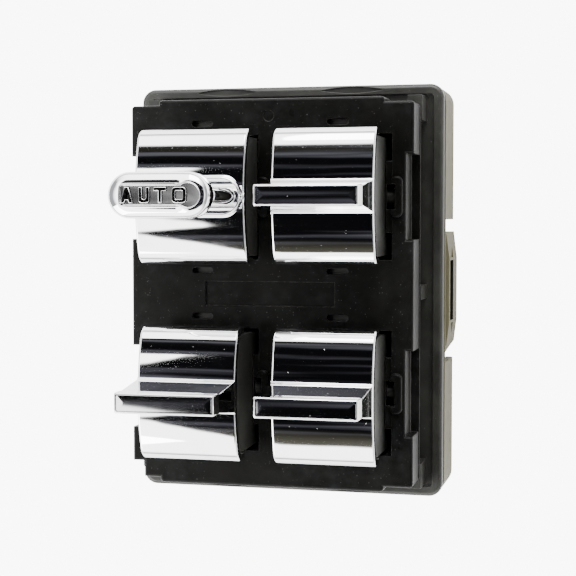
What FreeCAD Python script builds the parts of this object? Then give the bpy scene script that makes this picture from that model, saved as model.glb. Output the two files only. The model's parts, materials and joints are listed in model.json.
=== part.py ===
import FreeCAD, Part
import math
import os
import Sketcher
from FreeCAD import Rotation, Vector

os.makedirs("parts", exist_ok=True)
doc = FreeCAD.newDocument("window_switch")
sheet = doc.addObject("Spreadsheet::Sheet", "Dims")

# Axes: +Z out of the switch face, +Y towards the front pair of rockers, +X to the right.
# The back of the rear housing lies on Z = 0 and the switch is centred on X = Y = 0.
# All lengths are millimetres and all angles are degrees.

SIZES = [
    # rear housing
    ("housing_width", 76.8),
    ("housing_length", 100.0),
    ("housing_corner", 4.0),
    ("housing_edge", 1.6),
    ("housing_skin", 1.8),
    ("housing_web", 1.5),
    ("box_side", 6.9),
    ("box_end", 5.0),
    ("box_skin", 1.5),
    ("latch_length", 28.8),
    ("latch_slit", 3.0),
    ("latch_rake", 1.7),
    ("latch_drop", 0.5),
    ("latch_root", 1.0),
    ("latch_proud", 0.8),
    ("latch_crown", 15.6),
    ("window_length", 14.8),
    ("window_height", 6.0),
    ("window_low", 7.0),
    ("window_recess", 2.6),
    # flange
    ("flange_inset", 0.2),
    ("flange_corner", 3.4),
    ("flange_seat", 16.4),
    ("flange_floor", 1.2),
    ("rim_height", 2.3),
    ("rim_width", 2.4),
    ("rim_round", 1.1),
    ("scoop_length", 15.6),
    ("scoop_height", 1.6),
    ("scoop_depth", 0.5),
    ("post_width", 2.0),
    ("post_length", 4.4),
    ("post_height", 8.0),
    # tub that carries the rockers
    ("column_bar", 4.8),
    ("side_bar", 4.8),
    ("row_bar", 15.8),
    ("end_bar", 7.1),
    ("tub_skin", 1.5),
    ("tub_roof", 2.0),
    # faceplate
    ("deck_rise", 19.3),
    ("deck_skin", 2.0),
    ("plate_side", 4.2),
    ("plate_end", 5.6),
    ("plate_skin", 1.8),
    ("plate_drop", 9.1),
    ("plate_edge", 0.5),
    ("plate_corner", 0.8),
    ("deck_round", 0.65),
    ("lip_proud", 0.2),
    ("lip_height", 0.6),
    ("relief_length", 3.8),
    ("relief_depth", 2.8),
    ("tongue_inset", 6.85),
    ("tongue_proud", 1.2),
    ("well_lip", 0.2),
    ("notch_inset", 4.65),
    ("ear_half", 4.64),
    ("ear_proud", 2.5),
    ("ear_rise", 1.0),
    ("ear_skin", 1.55),
    ("ear_slot", 5.8),
    ("ear_lap", 0.4),
    ("ear_corner", 1.3),
    ("ear_edge", 0.4),
    ("guide_length", 16.4),
    ("guide_proud", 1.5),
    ("guide_depth", 2.0),
    ("guide_drop", 0.5),
    ("slot_length", 5.1),
    ("slot_width", 1.4),
    ("slot_outer_gap", 2.8),
    ("slot_rear_gap", 2.1),
    ("slot_inner_gap", 2.7),
    ("slot_spread", 0.5),
    ("label_width", 31.2),
    ("label_height", 5.7),
    ("label_depth", 0.4),
    ("mark_radius", 1.3),
    ("mark_depth", 0.12),
    ("mark_end", 2.85),
    ("mark_side", 0.2),
    # rocker carrier
    ("pivot_drop", 4.2),
    ("tilt_angle", 8.0),
    ("pin_radius", 1.9),
    ("pin_reach", 1.7),
    ("pin_clearance", 0.05),
    ("carrier_side", 2.05),
    ("carrier_end", 1.2),
    ("carrier_drop", 10.0),
    ("carrier_skin", 1.6),
    ("head_rise", 2.5),
    ("head_inset", 0.3),
    ("leg_width", 4.0),
    ("leg_depth", 2.6),
    ("tip_radius", 1.9),
    ("tip_drop", 1.2),
    # chrome caps
    ("cap_side", 1.75),
    ("cap_overhang", 0.8),
    ("crest_rise", 15.05),
    ("cap_height", 6.15),
    ("cap_skirt", 1.85),
    ("cap_skin", 1.6),
    ("crest_radius", 42.0),
    ("end_roll", 2.8),
    ("end_radius", 4.1),
    ("cap_fit", 0.1),
    ("driver_extra", 2.6),
    ("driver_cap_shift", 0.9),
    # blade paddles
    ("blade_inset", 0.15),
    ("blade_rise", 15.85),
    ("blade_root", 7.8),
    ("blade_neck", 4.2),
    ("blade_head", 4.6),
    ("blade_head_length", 4.6),
    ("blade_flare", 3.2),
    ("blade_round", 0.7),
    ("panel_margin", 0.8),
    ("panel_depth", 0.35),
    # driver's knob
    ("knob_inset", 1.55),
    ("knob_width", 9.9),
    ("knob_rise", 22.25),
    ("knob_thickness", 5.2),
    ("knob_round", 1.5),
    ("stem_inset", 0.2),
    ("stem_width", 3.6),
    ("boss_margin", 1.05),
    ("boss_width", 9.0),
    ("boss_height", 1.3),
    ("band_margin", 3.1),
    ("eye_margin", 4.6),
    ("band_height", 4.3),
    ("band_depth", 0.5),
    ("band_eye", 2.75),
    # detent plunger and spring
    ("plunger_offset", 6.5),
    ("plunger_radius", 1.5),
    ("plunger_gap", 4.0),
    ("plunger_length", 10.0),
    ("sleeve_skin", 1.2),
    ("sleeve_gap", 3.4),
    ("spring_wire", 0.35),
    ("spring_turns", 6.0),
    ("spring_length", 7.0),
    ("track_width", 4.4),
    ("track_length", 9.0),
    # contact slides and circuit board
    ("slide_width", 14.0),
    ("slide_length", 9.6),
    ("slide_height", 2.3),
    ("rail_width", 1.3),
    ("rail_length", 16.0),
    ("wiper_width", 12.6),
    ("wiper_length", 7.6),
    ("wiper_skin", 0.3),
    ("wiper_dome", 0.4),
    ("wiper_tip_radius", 0.7),
    ("contact_across", 9.2),
    ("contact_along", 3.7),
    ("pad_width", 2.2),
    ("pad_length", 3.2),
    ("pad_skin", 0.2),
    ("board_side", 2.0),
    ("board_end", 2.0),
    ("board_skin", 1.5),
    ("board_drop", 5.2),
    # connector
    ("header_width", 27.0),
    ("header_length", 11.4),
    ("header_skin", 1.3),
    ("header_floor", 2.4),
    ("key_width", 2.4),
    ("key_depth", 0.9),
    ("terminal_size", 0.64),
    ("terminal_pitch", 3.4),
    ("terminal_row", 4.0),
    ("terminal_low", 4.4),
    ("terminal_stub", 0.9),
    # rear cover and screws
    ("cover_skin", 2.4),
    ("screw_side", 5.5),
    ("screw_end", 5.2),
    ("screw_radius", 1.25),
    ("screw_reach", 18.0),
    ("head_radius", 2.4),
    ("head_height", 1.6),
    ("recess_margin", 0.3),
    ("pillar_radius", 3.2),
    # clearances
    ("static_gap", 0.2),
    ("running_gap", 0.3),
]


class Size(float):
    """A length that remembers the sheet expression it stands for."""

    def __new__(cls, value, text):
        size = float.__new__(cls, value)
        size.text = text
        return size

    def __add__(self, other):
        return Size(float(self) + float(other), "(%s + %s)" % (self.text, words(other)))

    def __radd__(self, other):
        return Size(float(other) + float(self), "(%s + %s)" % (words(other), self.text))

    def __sub__(self, other):
        return Size(float(self) - float(other), "(%s - %s)" % (self.text, words(other)))

    def __rsub__(self, other):
        return Size(float(other) - float(self), "(%s - %s)" % (words(other), self.text))

    def __mul__(self, other):
        return Size(float(self) * float(other), "(%s * %s)" % (self.text, words(other)))

    def __rmul__(self, other):
        return Size(float(other) * float(self), "(%s * %s)" % (words(other), self.text))

    def __truediv__(self, other):
        return Size(float(self) / float(other), "(%s / %s)" % (self.text, words(other)))

    def __neg__(self):
        return Size(-float(self), "(-1 * %s)" % self.text)


def sine(angle):
    return Size(math.sin(math.radians(float(angle))), "sin(%s)" % words(angle))


def root(size):
    return Size(math.sqrt(float(size)), "sqrt(%s)" % words(size))


def words(size):
    return size.text if isinstance(size, Size) else "%.9g" % float(size)


class Dims:
    """The driving sizes, one attribute for each alias in the sheet, and those that follow."""


for row, (alias, value) in enumerate(SIZES, 1):
    sheet.set("A%d" % row, alias)
    sheet.set("B%d" % row, str(value))
    sheet.setAlias("B%d" % row, alias)
    setattr(Dims, alias, Size(value, "Dims." + alias))
doc.recompute()
d = Dims

# Widths and lengths that follow from the housing, so that all the pieces grow with it.
d.flange_width = d.housing_width - d.flange_inset * 2
d.flange_length = d.housing_length * 1
d.box_width = d.housing_width - d.box_side * 2
d.box_length = d.housing_length - d.box_end * 2
d.plate_width = d.flange_width - d.plate_side * 2
d.plate_length = d.flange_length - d.plate_end * 2
d.tongue_width = d.plate_width - d.tongue_inset * 2
d.tongue_length = d.plate_length + d.tongue_proud * 2
d.bay_width = (d.plate_width - d.column_bar - d.side_bar * 2) / 2
d.bay_length = (d.plate_length - d.row_bar - d.end_bar * 2) / 2
d.column_pitch = d.bay_width + d.column_bar
d.row_pitch = d.bay_length + d.row_bar
d.well_width = d.bay_width - d.well_lip * 2
d.well_length = d.bay_length - d.well_lip * 2
d.notch_length = d.well_length - d.notch_inset * 2
d.ear_reach = d.well_width / 2 + d.ear_proud
d.slot_outer = d.well_length / 2 + d.slot_outer_gap
d.slot_rear = d.well_length / 2 + d.slot_rear_gap
d.slot_inner = d.well_length / 2 + d.slot_inner_gap
d.carrier_width = d.bay_width - d.carrier_side * 2
d.carrier_length = d.bay_length - d.carrier_end * 2
d.cap_width = d.bay_width - d.cap_side * 2
d.cap_length = d.bay_length + d.cap_overhang * 2
d.crest_length = d.cap_length - d.end_roll * 2
d.driver_cap_width = d.cap_width + d.driver_extra
d.blade_width = d.cap_width - d.blade_inset * 2
d.knob_length = d.driver_cap_width - d.knob_inset * 2
d.stem_length = d.knob_length - d.stem_inset * 2
d.boss_length = d.knob_length + d.boss_margin * 2
d.band_left = d.knob_length / 2 - d.band_margin
d.band_right = d.knob_length / 2 - d.eye_margin
d.board_width = d.box_width - d.board_side * 2
d.board_length = d.box_length - d.board_end * 2
d.screw_across = d.box_width - d.screw_side * 2
d.screw_along = d.box_length - d.screw_end * 2

# Heights, each measured from the piece that carries it.
d.rim_top = d.flange_seat + d.rim_height
d.deck_top = d.rim_top + d.deck_rise
d.pivot_height = d.deck_top - d.pivot_drop
d.carrier_low = d.deck_top - d.carrier_drop
d.head_low = d.deck_top + d.head_rise
d.cap_crest = d.deck_top + d.crest_rise
d.cap_foot = d.cap_crest - d.cap_height
d.cap_low = d.cap_foot - d.cap_skirt
d.blade_tip = d.cap_crest + d.blade_rise
d.knob_top = d.cap_crest + d.knob_rise
d.plunger_low = d.flange_seat + d.flange_floor + d.plunger_gap
d.sleeve_low = d.plunger_low + d.sleeve_gap
d.tip_height = d.flange_seat - d.tip_drop
d.board_low = d.flange_seat - d.board_drop

PIECES = []

# Four stations: name, side of the column, side of the row.
STATIONS = [
    ("front_left", -1, 1),
    ("front_right", 1, 1),
    ("rear_left", -1, -1),
    ("rear_right", 1, -1),
]


def bind(thing, prop, size):
    if isinstance(size, Size):
        thing.setExpression(prop, size.text)
    else:
        thing.setExpression(prop, "%.9g" % float(size))


def place(thing, x, y, z, turn=None):
    if turn is not None:
        thing.Placement = FreeCAD.Placement(Vector(float(x), float(y), float(z)), turn)
    bind(thing, "Placement.Base.x", x)
    bind(thing, "Placement.Base.y", y)
    bind(thing, "Placement.Base.z", z)


def box(name, x, y, z):
    """A block between the given pairs of low and high X, Y and Z."""
    thing = doc.addObject("Part::Box", name)
    bind(thing, "Length", x[1] - x[0])
    bind(thing, "Width", y[1] - y[0])
    bind(thing, "Height", z[1] - z[0])
    place(thing, x[0], y[0], z[0])
    return thing


def around(centre, full):
    """Low and high ends of a span of the given full length about a centre."""
    return (centre - full / 2, centre + full / 2)


def post(name, radius, x, y, z):
    """An upright round bar."""
    thing = doc.addObject("Part::Cylinder", name)
    bind(thing, "Radius", radius)
    bind(thing, "Height", z[1] - z[0])
    place(thing, x, y, z[0])
    return thing


def bar(name, radius, x, y, z):
    """A round bar that lies along X."""
    thing = doc.addObject("Part::Cylinder", name)
    bind(thing, "Radius", radius)
    bind(thing, "Height", x[1] - x[0])
    place(thing, x[0], y, z, Rotation(Vector(0, 1, 0), 90))
    return thing


def fuse(name, things):
    if len(things) == 1:
        return things[0]
    thing = doc.addObject("Part::MultiFuse", name)
    thing.Shapes = things
    thing.Refine = True
    return thing


def cut(name, base, tools):
    thing = doc.addObject("Part::Cut", name)
    thing.Base = base
    thing.Tool = fuse(name + "_tools", tools)
    thing.Refine = True
    return thing


def common(name, base, tool):
    thing = doc.addObject("Part::Common", name)
    thing.Base = base
    thing.Tool = tool
    return thing


def rounded(name, base, radius, wanted):
    """Fillets the edges of base that the wanted test picks."""
    doc.recompute()
    edges = []
    for number, edge in enumerate(base.Shape.Edges, 1):
        if wanted(edge):
            edges.append((number, float(radius), float(radius)))
    thing = doc.addObject("Part::Fillet", name)
    thing.Base = base
    thing.Edges = edges
    return thing


def upright(edge):
    ends = [vertex.Point for vertex in edge.Vertexes]
    if len(ends) != 2:
        return False
    return abs(ends[0].x - ends[1].x) < 1e-6 and abs(ends[0].y - ends[1].y) < 1e-6


def level_at(height):
    def wanted(edge):
        return all(abs(vertex.Point.z - float(height)) < 1e-6 for vertex in edge.Vertexes)
    return wanted


def slab(name, x, y, z, corner):
    """A block with rounded upright corners."""
    return rounded(name, box(name + "_block", x, y, z), corner, upright)


def stadium(name, x, y, length, width, z):
    """A round-ended bar along X with upright sides."""
    reach = (length - width) / 2
    return fuse(name, [
        box(name + "_mid", around(x, length - width), around(y, width), z),
        post(name + "_left", width / 2, x - reach, y, z),
        post(name + "_right", width / 2, x + reach, y, z),
    ])


def keep(label, thing):
    """Marks an object as one finished piece of the switch."""
    thing.Label = label
    PIECES.append(thing)
    return thing


def outline(body, name, role, corners):
    """A closed sketch through corners; a third entry is the radius of the arc that leads there.

    A positive radius bulges to the right of the way walked and a negative one to the left.
    """
    sketch = body.newObject("Sketcher::SketchObject", name)
    planes = [f for f in body.Origin.OriginFeatures if f.Role == role]
    sketch.AttachmentSupport = [(planes[0], "")]
    sketch.MapMode = "FlatFace"
    count = len(corners)
    for i in range(count):
        start = corners[i]
        end = corners[(i + 1) % count]
        a = Vector(float(start[0]), float(start[1]), 0)
        b = Vector(float(end[0]), float(end[1]), 0)
        if len(end) == 3:
            radius = abs(float(end[2]))
            chord = b.sub(a)
            side = Vector(chord.y, -chord.x, 0).normalize()
            sagitta = radius - math.sqrt(max(radius ** 2 - (chord.Length / 2) ** 2, 0))
            bow = sagitta if float(end[2]) > 0 else -sagitta
            middle = a.add(chord.multiply(0.5)).add(side.multiply(bow))
            first, last = (a, b) if bow > 0 else (b, a)
            sketch.addGeometry(Part.Arc(first, middle, last), False)
        else:
            sketch.addGeometry(Part.LineSegment(a, b), False)
    arcs = {}
    for i in range(count):
        shape = sketch.Geometry[i]
        start = Vector(float(corners[i][0]), float(corners[i][1]), 0)
        if shape.StartPoint.sub(start).Length < 1e-6:
            arcs[i] = (1, 2)
        else:
            arcs[i] = (2, 1)
    limits = []
    formulas = []
    for i in range(count):
        after = (i + 1) % count
        limits.append(Sketcher.Constraint("Coincident", i, arcs[i][1], after, arcs[after][0]))
    for i in range(count):
        for kind, size in (("DistanceX", corners[i][0]), ("DistanceY", corners[i][1])):
            if isinstance(size, Size):
                formulas.append((len(limits), size.text))
            limits.append(Sketcher.Constraint(kind, -1, 1, i, arcs[i][0], float(size)))
        end = corners[(i + 1) % count]
        if len(end) == 3:
            if isinstance(end[2], Size):
                text = end[2].text if float(end[2]) > 0 else "(-1 * %s)" % end[2].text
                formulas.append((len(limits), text))
            limits.append(Sketcher.Constraint("Radius", i, abs(float(end[2]))))
    sketch.addConstraint(limits)
    for number, text in formulas:
        sketch.setExpression("Constraints[%d]" % number, text)
    return sketch


def pad(body, name, sketch, length, middle=True):
    """Pads a sketch by the given length, half to each side of its plane or all to one side."""
    feature = body.newObject("PartDesign::Pad", name)
    feature.Profile = sketch
    feature.Midplane = middle
    bind(feature, "Length", length)
    return feature


def group(name, things):
    """Separate solids kept together as one piece, such as a set of like screws."""
    thing = doc.addObject("Part::Compound", name)
    thing.Links = things
    return thing


ZERO = Size(0.0, "0")

# Heights and half widths that several pieces share.
tub_top = d.deck_top - d.deck_skin
tub_reach = d.plate_width / 2 - d.plate_skin - d.static_gap
tub_end = d.plate_length / 2 - d.plate_skin - d.static_gap
floor_top = d.flange_seat + d.flange_floor
board_top = d.board_low + d.board_skin
slide_top = d.flange_seat - d.running_gap
slide_low = slide_top - d.slide_height
bore_radius = d.pin_radius + d.pin_clearance
header_hole = (d.header_width + d.static_gap * 2, d.header_length + d.static_gap * 2)
screw_seat = d.head_height + d.recess_margin
corner_signs = [(sx, sy) for sx in (-1, 1) for sy in (-1, 1)]


def station_centre(side, row):
    return (d.column_pitch / 2 * side, d.row_pitch / 2 * row)


def span(low, high, side=1):
    """A span measured out from the middle, mirrored when side is -1."""
    return (low, high) if side > 0 else (-high, -low)


def screw_points():
    return [(d.screw_across / 2 * sx, d.screw_along / 2 * sy) for sx, sy in corner_signs]


def terminal_points():
    points = []
    for column in range(6):
        for side in (-1, 1):
            points.append((d.terminal_pitch * (column - 2.5), d.terminal_row / 2 * side))
    return points


def latch_crown(side):
    """The proud middle of a latch, with both ends running down to the skirt."""
    body = doc.addObject("PartDesign::Body", "latch_%s" % ("right" if side > 0 else "left"))
    inner = (d.housing_width / 2 - d.housing_skin / 2) * side
    skin = d.housing_width / 2 * side
    crown = (d.housing_width / 2 + d.latch_proud) * side
    end = d.latch_length / 2
    top = d.latch_crown / 2
    sketch = outline(body, body.Name + "_outline", "XY_Plane", [
        (inner, -end), (skin, -end), (crown, -top), (crown, top), (skin, end), (inner, end)])
    pad(body, body.Name + "_pad", sketch, d.flange_seat - d.latch_root - d.housing_edge / 2, False)
    return body


def raked_slit(side):
    """Slit below a latch, whose upper edge climbs towards the back."""
    body = doc.addObject("PartDesign::Body", "raked_slit_%d" % (side + 1))
    far = -d.latch_length / 2 - d.latch_slit
    front = -d.latch_length / 2 - d.latch_drop
    top = d.flange_seat - d.latch_root
    sketch = outline(body, body.Name + "_outline", "YZ_Plane", [
        (far, ZERO - 1), (front + d.latch_rake, ZERO - 1), (front + d.latch_rake, ZERO),
        (front, top), (far, top)])
    pad(body, body.Name + "_pad", sketch, d.housing_skin * 2 + d.latch_proud * 2 + 2)
    place(body, d.housing_width / 2 * side, ZERO, ZERO)
    return body


def rear_housing():
    """Pale skirt behind the flange, with an inner box for the contacts and two snap latches."""
    wide = d.housing_width / 2
    long = d.housing_length / 2
    shell = slab("skirt", (-wide, wide), (-long, long), (ZERO, d.flange_seat), d.housing_corner)
    shell = rounded("skirt_round", shell, d.housing_edge, level_at(0))
    web_low = d.flange_seat - d.housing_web
    inside = slab("skirt_inside", (d.housing_skin - wide, wide - d.housing_skin),
                  (d.housing_skin - long, long - d.housing_skin), (ZERO - 1, web_low),
                  d.housing_corner - d.housing_skin)
    inner_box = slab("inner_box", around(ZERO, d.box_width), around(ZERO, d.box_length),
                     (ZERO - 2, web_low + 1), d.housing_corner - d.housing_skin)
    ring = cut("skirt_hollow", inside, [inner_box])
    chamber = box("chamber", around(ZERO, d.box_width - d.box_skin * 2),
                  around(ZERO, d.box_length - d.box_skin * 2), (ZERO - 1, d.flange_seat + 1))
    solid = fuse("housing_solid", [shell, latch_crown(1), latch_crown(-1)])
    tools = [ring, chamber]
    inner = wide - d.housing_skin - 1
    outer = wide + d.latch_proud + 1
    for side in (-1, 1):
        across = span(inner, outer, side)
        start = d.latch_length / 2
        tools.append(box("slit_%d" % (side + 1), across, (start, start + d.latch_slit),
                         (ZERO - 1, d.flange_seat - d.latch_root)))
        tools.append(raked_slit(side))
        for row in (-1, 1):
            name = "%d_%d" % (side + 1, row + 1)
            begin = d.window_length / 2 + d.window_recess / 4
            shallow = span(wide + d.latch_proud / 2, outer, side)
            tools.append(box("recess_" + name, shallow, span(begin, begin + d.window_recess, row),
                             (d.window_low, d.window_low + d.window_height)))
        tools.append(box("window_%d" % (side + 1), across, around(ZERO, d.window_length),
                         (d.window_low, d.window_low + d.window_height)))
    keep("rear_housing", cut("housing", solid, tools))


def lens(name, x, y):
    """A shallow lens-shaped scoop in the top of the rim."""
    half = d.scoop_height / 2
    radius = (d.scoop_length * d.scoop_length / 4 + half * half) / (half * 2)
    depth = (d.rim_top - d.scoop_depth, d.rim_top + 1)
    upper = post(name + "_upper", radius, x, y - radius + half, depth)
    lower = post(name + "_lower", radius, x, y + radius - half, depth)
    return common(name, upper, lower)


def flange_frame():
    """Black flange with a rounded rim and the tub whose bays hold the rockers."""
    wide = d.flange_width / 2
    long = d.flange_length / 2
    plate = slab("flange", (-wide, wide), (-long, long), (d.flange_seat, d.rim_top),
                 d.flange_corner)
    plate = rounded("flange_round", plate, d.rim_round, level_at(d.rim_top))
    channel = slab("channel", (d.rim_width - wide, wide - d.rim_width),
                   (d.rim_width - long, long - d.rim_width), (floor_top, d.rim_top + 1),
                   d.flange_corner - d.rim_width)
    scoops = []
    for side, row in corner_signs:
        scoops.append(lens("scoop_%d_%d" % (side + 1, row + 1), d.column_pitch / 2 * side,
                           (long - d.rim_width / 2) * row))
    tray = cut("tray", plate, [channel] + scoops)
    solids = [tray, slab("tub", (-tub_reach, tub_reach), (-tub_end, tub_end),
                         (d.flange_seat, tub_top), d.plate_edge)]
    tools = []
    for side in (-1, 1):
        outward = span(tub_reach - d.tub_skin, tub_reach + d.post_width, side)
        rise = (floor_top - d.flange_floor / 2, floor_top + d.post_height)
        solids.append(box("stop_%d" % (side + 1), outward, around(ZERO, d.post_length * 0.75), rise))
        for row in (-1, 1):
            along = span(tub_end - d.tub_skin, tub_end + d.post_length, row)
            solids.append(box("stop_%d_%d" % (side + 1, row + 1), outward, along, rise))
    for x, y in screw_points():
        name = "%d_%d" % (x > 0, y > 0)
        solids.append(post("pillar_" + name, d.pillar_radius, x, y, (board_top, floor_top)))
        tools.append(post("pilot_" + name, d.screw_radius + d.pin_clearance, x, y,
                          (board_top - 1, screw_seat + d.screw_reach + d.static_gap)))
    for name, side, row in STATIONS:
        x, y = station_centre(side, row)
        for edge in (-1, 1):
            centre = x + (d.slide_width / 2 + d.running_gap + d.rail_width / 2) * edge
            solids.append(box("rail_%s_%d" % (name, edge + 1), around(centre, d.rail_width),
                              around(y, d.rail_length), (board_top + d.static_gap, floor_top)))
        tools.append(box("bay_" + name, around(x, d.bay_width), around(y, d.bay_length),
                         (floor_top, d.deck_top)))
        swing = (d.pivot_height - d.flange_seat) * sine(d.tilt_angle) * 2
        tools.append(box("leg_hole_" + name, around(x, d.leg_width + d.running_gap * 4),
                         around(y, d.leg_depth + swing + d.running_gap * 4),
                         (d.flange_seat - 1, floor_top + 1)))
        reach = d.bay_width + d.pin_reach * 2 + d.running_gap * 2
        tools.append(bar("bearing_" + name, bore_radius, around(x, reach), y, d.pivot_height))
    middle = d.row_pitch / 2 - d.bay_length / 2 - d.tub_skin
    roof = tub_top - d.tub_roof
    tools.append(box("core_middle", (d.tub_skin - tub_reach, tub_reach - d.tub_skin),
                     (-middle, middle), (d.flange_seat - 1, roof)))
    core_reach = d.screw_across / 2 - d.pillar_radius - d.tub_skin
    core_start = d.row_pitch / 2 + d.bay_length / 2 + d.tub_skin
    for row in (-1, 1):
        tools.append(box("core_%d" % (row + 1), (-core_reach, core_reach),
                         span(core_start, tub_end - d.tub_skin, row), (d.flange_seat - 1, roof)))
    base = cut("frame_base", fuse("frame_solid", solids), tools)
    tracks = []
    for name, side, row in STATIONS:
        x, y = station_centre(side, row)
        sweep = d.pivot_height - d.plunger_low + d.running_gap
        rise = d.track_length * d.track_length / 4 / (sweep * 2)
        block = box("track_block_" + name, around(x + d.plunger_offset, d.track_width),
                    around(y, d.track_length), (floor_top - d.flange_floor / 2,
                                                d.plunger_low + rise))
        round_cut = bar("track_round_" + name, sweep,
                        around(x + d.plunger_offset, d.track_width * 2), y, d.pivot_height)
        tracks.append(cut("track_" + name, block, [round_cut]))
    keep("flange_frame", fuse("frame", [base] + tracks))


def ear(name, x, y, out):
    """Raised bracket on the deck beside a rocker, slotted where the pivot pin drops in."""
    reach = span(d.well_width / 2 - d.ear_lap, d.ear_reach, out)
    top = d.deck_top + d.ear_rise
    block = slab(name + "_slab", (x + reach[0], x + reach[1]), around(y, d.ear_half * 2),
                 (tub_top, top), d.ear_corner)
    return rounded(name, block, d.ear_edge, level_at(top))


def faceplate():
    """Black deck that snaps over the tub, with wells, side notches and small latch slots."""
    low = d.deck_top - d.plate_drop
    sill = low + d.lip_height
    wide = slab("plate_wide", around(ZERO, d.plate_width), around(ZERO, d.plate_length),
                (low, d.deck_top), d.plate_corner)
    long = slab("plate_long", around(ZERO, d.tongue_width), around(ZERO, d.tongue_length),
                (low, d.deck_top), d.plate_corner)
    inner_x = d.plate_width / 2 - d.plate_skin
    inner_y = d.plate_length / 2 - d.plate_skin
    notches = []
    for name, side, row in STATIONS:
        x, y = station_centre(side, row)
        notches.append(box("notch_" + name, span(inner_x, d.plate_width / 2 + 1, side),
                           around(y, d.notch_length), (sill, d.deck_top + 1)))
    corner = d.plate_length / 2
    edge = d.plate_width / 2
    notches.append(box("corner_relief", span(edge - d.relief_depth, edge + 1, -1),
                       (-corner - 1, d.relief_length - corner), (sill, d.deck_top + 1)))
    solid = cut("plate_notched", fuse("plate_solid", [wide, long]), notches)
    solid = rounded("plate_round", solid, d.deck_round, level_at(d.deck_top))
    tools = [box("plate_hollow", (-inner_x, inner_x), (-inner_y, inner_y), (low - 1, tub_top))]
    for name, side, row in STATIONS:
        x, y = station_centre(side, row)
        tools.append(box("well_" + name, around(x, d.well_width), around(y, d.well_length),
                         (low, d.deck_top + 1)))
        outer = d.slot_outer if row > 0 else d.slot_rear
        for offset, label in ((outer * row, "outer"), (d.slot_inner * -row, "inner")):
            tools.append(stadium("slot_%s_%s" % (name, label), x + d.slot_spread * side,
                                 y + offset, d.slot_length, d.slot_width,
                                 (tub_top - 1, d.deck_top + 1)))
    tools.append(box("label", around(ZERO, d.label_width), around(ZERO, d.label_height),
                     (d.deck_top - d.label_depth, d.deck_top + 1)))
    tools.append(post("ejector_mark", d.mark_radius, -d.mark_side,
                      d.plate_length / 2 - d.mark_end, (d.deck_top - d.mark_depth, d.deck_top + 1)))
    plate = cut("plate_open", solid, tools)
    extras = [plate]
    for side in (-1, 1):
        across = span(inner_x, d.plate_width / 2 + d.lip_proud, side)
        extras.append(box("lip_%d" % (side + 1), across,
                          around(ZERO, d.plate_length - d.plate_corner * 2), (low, sill)))
    slots = []
    for name, side, row in STATIONS:
        x, y = station_centre(side, row)
        for out in (-1, 1):
            key = "%s_%d" % (name, out + 1)
            extras.append(ear("ear_" + key, x, y, out))
            rib = span(d.well_width / 2 - d.guide_proud, d.well_width / 2, out)
            extras.append(box("guide_" + key, (x + rib[0], x + rib[1]), around(y, d.guide_length),
                              (d.deck_top - d.guide_depth, d.deck_top - d.guide_drop)))
            inner = span(d.well_width / 2 - d.ear_lap - 1, d.ear_reach - d.ear_skin, out)
            slots.append(box("ear_slot_" + key, (x + inner[0], x + inner[1]),
                             around(y, d.ear_slot), (tub_top - 1, d.deck_top + d.ear_rise + 1)))
    keep("faceplate", cut("plate", fuse("plate_with_ears", extras), slots))


crown_half = d.crest_length / 2
crown_side = d.cap_crest - d.crest_radius + root(
    d.crest_radius * d.crest_radius - crown_half * crown_half)
lining_half = crown_half - d.cap_skin * 0.45
lining_side = crown_side - d.cap_skin * 0.95


def cap_shell(name, width):
    """Bowed cap of even wall whose two ends roll down."""
    body = doc.addObject("PartDesign::Body", name)
    half = d.cap_length / 2
    inner = half - d.cap_skin
    inner_radius = d.crest_radius - d.cap_skin
    lining_radius = d.end_radius - d.cap_skin
    sketch = outline(body, name + "_outline", "YZ_Plane", [
        (-half, d.cap_foot, d.end_radius),
        (-half, d.cap_low), (-inner, d.cap_low), (-inner, d.cap_foot),
        (-lining_half, lining_side, -lining_radius),
        (lining_half, lining_side, -inner_radius),
        (inner, d.cap_foot, -lining_radius),
        (inner, d.cap_low), (half, d.cap_low), (half, d.cap_foot),
        (crown_half, crown_side, d.end_radius),
        (-crown_half, crown_side, d.crest_radius),
    ])
    pad(body, name + "_pad", sketch, width)
    return body


def blade(name):
    """Upright finger paddle with a flared root and a thicker tip."""
    body = doc.addObject("PartDesign::Body", name)
    base = d.cap_crest - d.cap_skin / 2
    foot = d.cap_crest - d.cap_skin / 8
    flare = d.cap_crest + d.blade_flare
    neck = d.blade_neck / 2
    tip = d.blade_head / 2
    shoulder = d.blade_tip - d.blade_head_length
    brow = d.blade_tip - d.blade_head_length + (d.blade_head - d.blade_neck) * 2
    corner = d.blade_tip - d.blade_round
    wide = d.blade_root / 2
    sketch = outline(body, name + "_outline", "YZ_Plane", [
        (-wide, base), (wide, base), (wide, foot),
        (neck, flare, -d.blade_flare * 1.25),
        (neck, shoulder), (tip, brow), (tip, corner),
        (tip - d.blade_round, d.blade_tip, d.blade_round),
        (d.blade_round - tip, d.blade_tip),
        (-tip, corner, d.blade_round),
        (-tip, brow), (-neck, shoulder), (-neck, flare),
        (-wide, foot, -d.blade_flare * 1.25),
    ])
    pad(body, name + "_pad", sketch, d.blade_width)
    return body


def paddle_cap(name, side, row):
    """Chrome cap and its blade, moulded in one."""
    x, y = station_centre(side, row)
    shell = cap_shell("shell_" + name, d.cap_width)
    place(shell, x, y, ZERO)
    paddle = blade("blade_" + name)
    place(paddle, x, y, ZERO)
    panel = box("panel_" + name, around(x, d.blade_width - d.panel_margin * 2),
                around(y, d.blade_head - d.panel_margin * 2),
                (d.blade_tip - d.panel_depth, d.blade_tip + 1))
    keep("paddle_cap_" + name, cut("cap_" + name, fuse("cap_solid_" + name, [shell, paddle]),
                                   [panel]))


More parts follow.
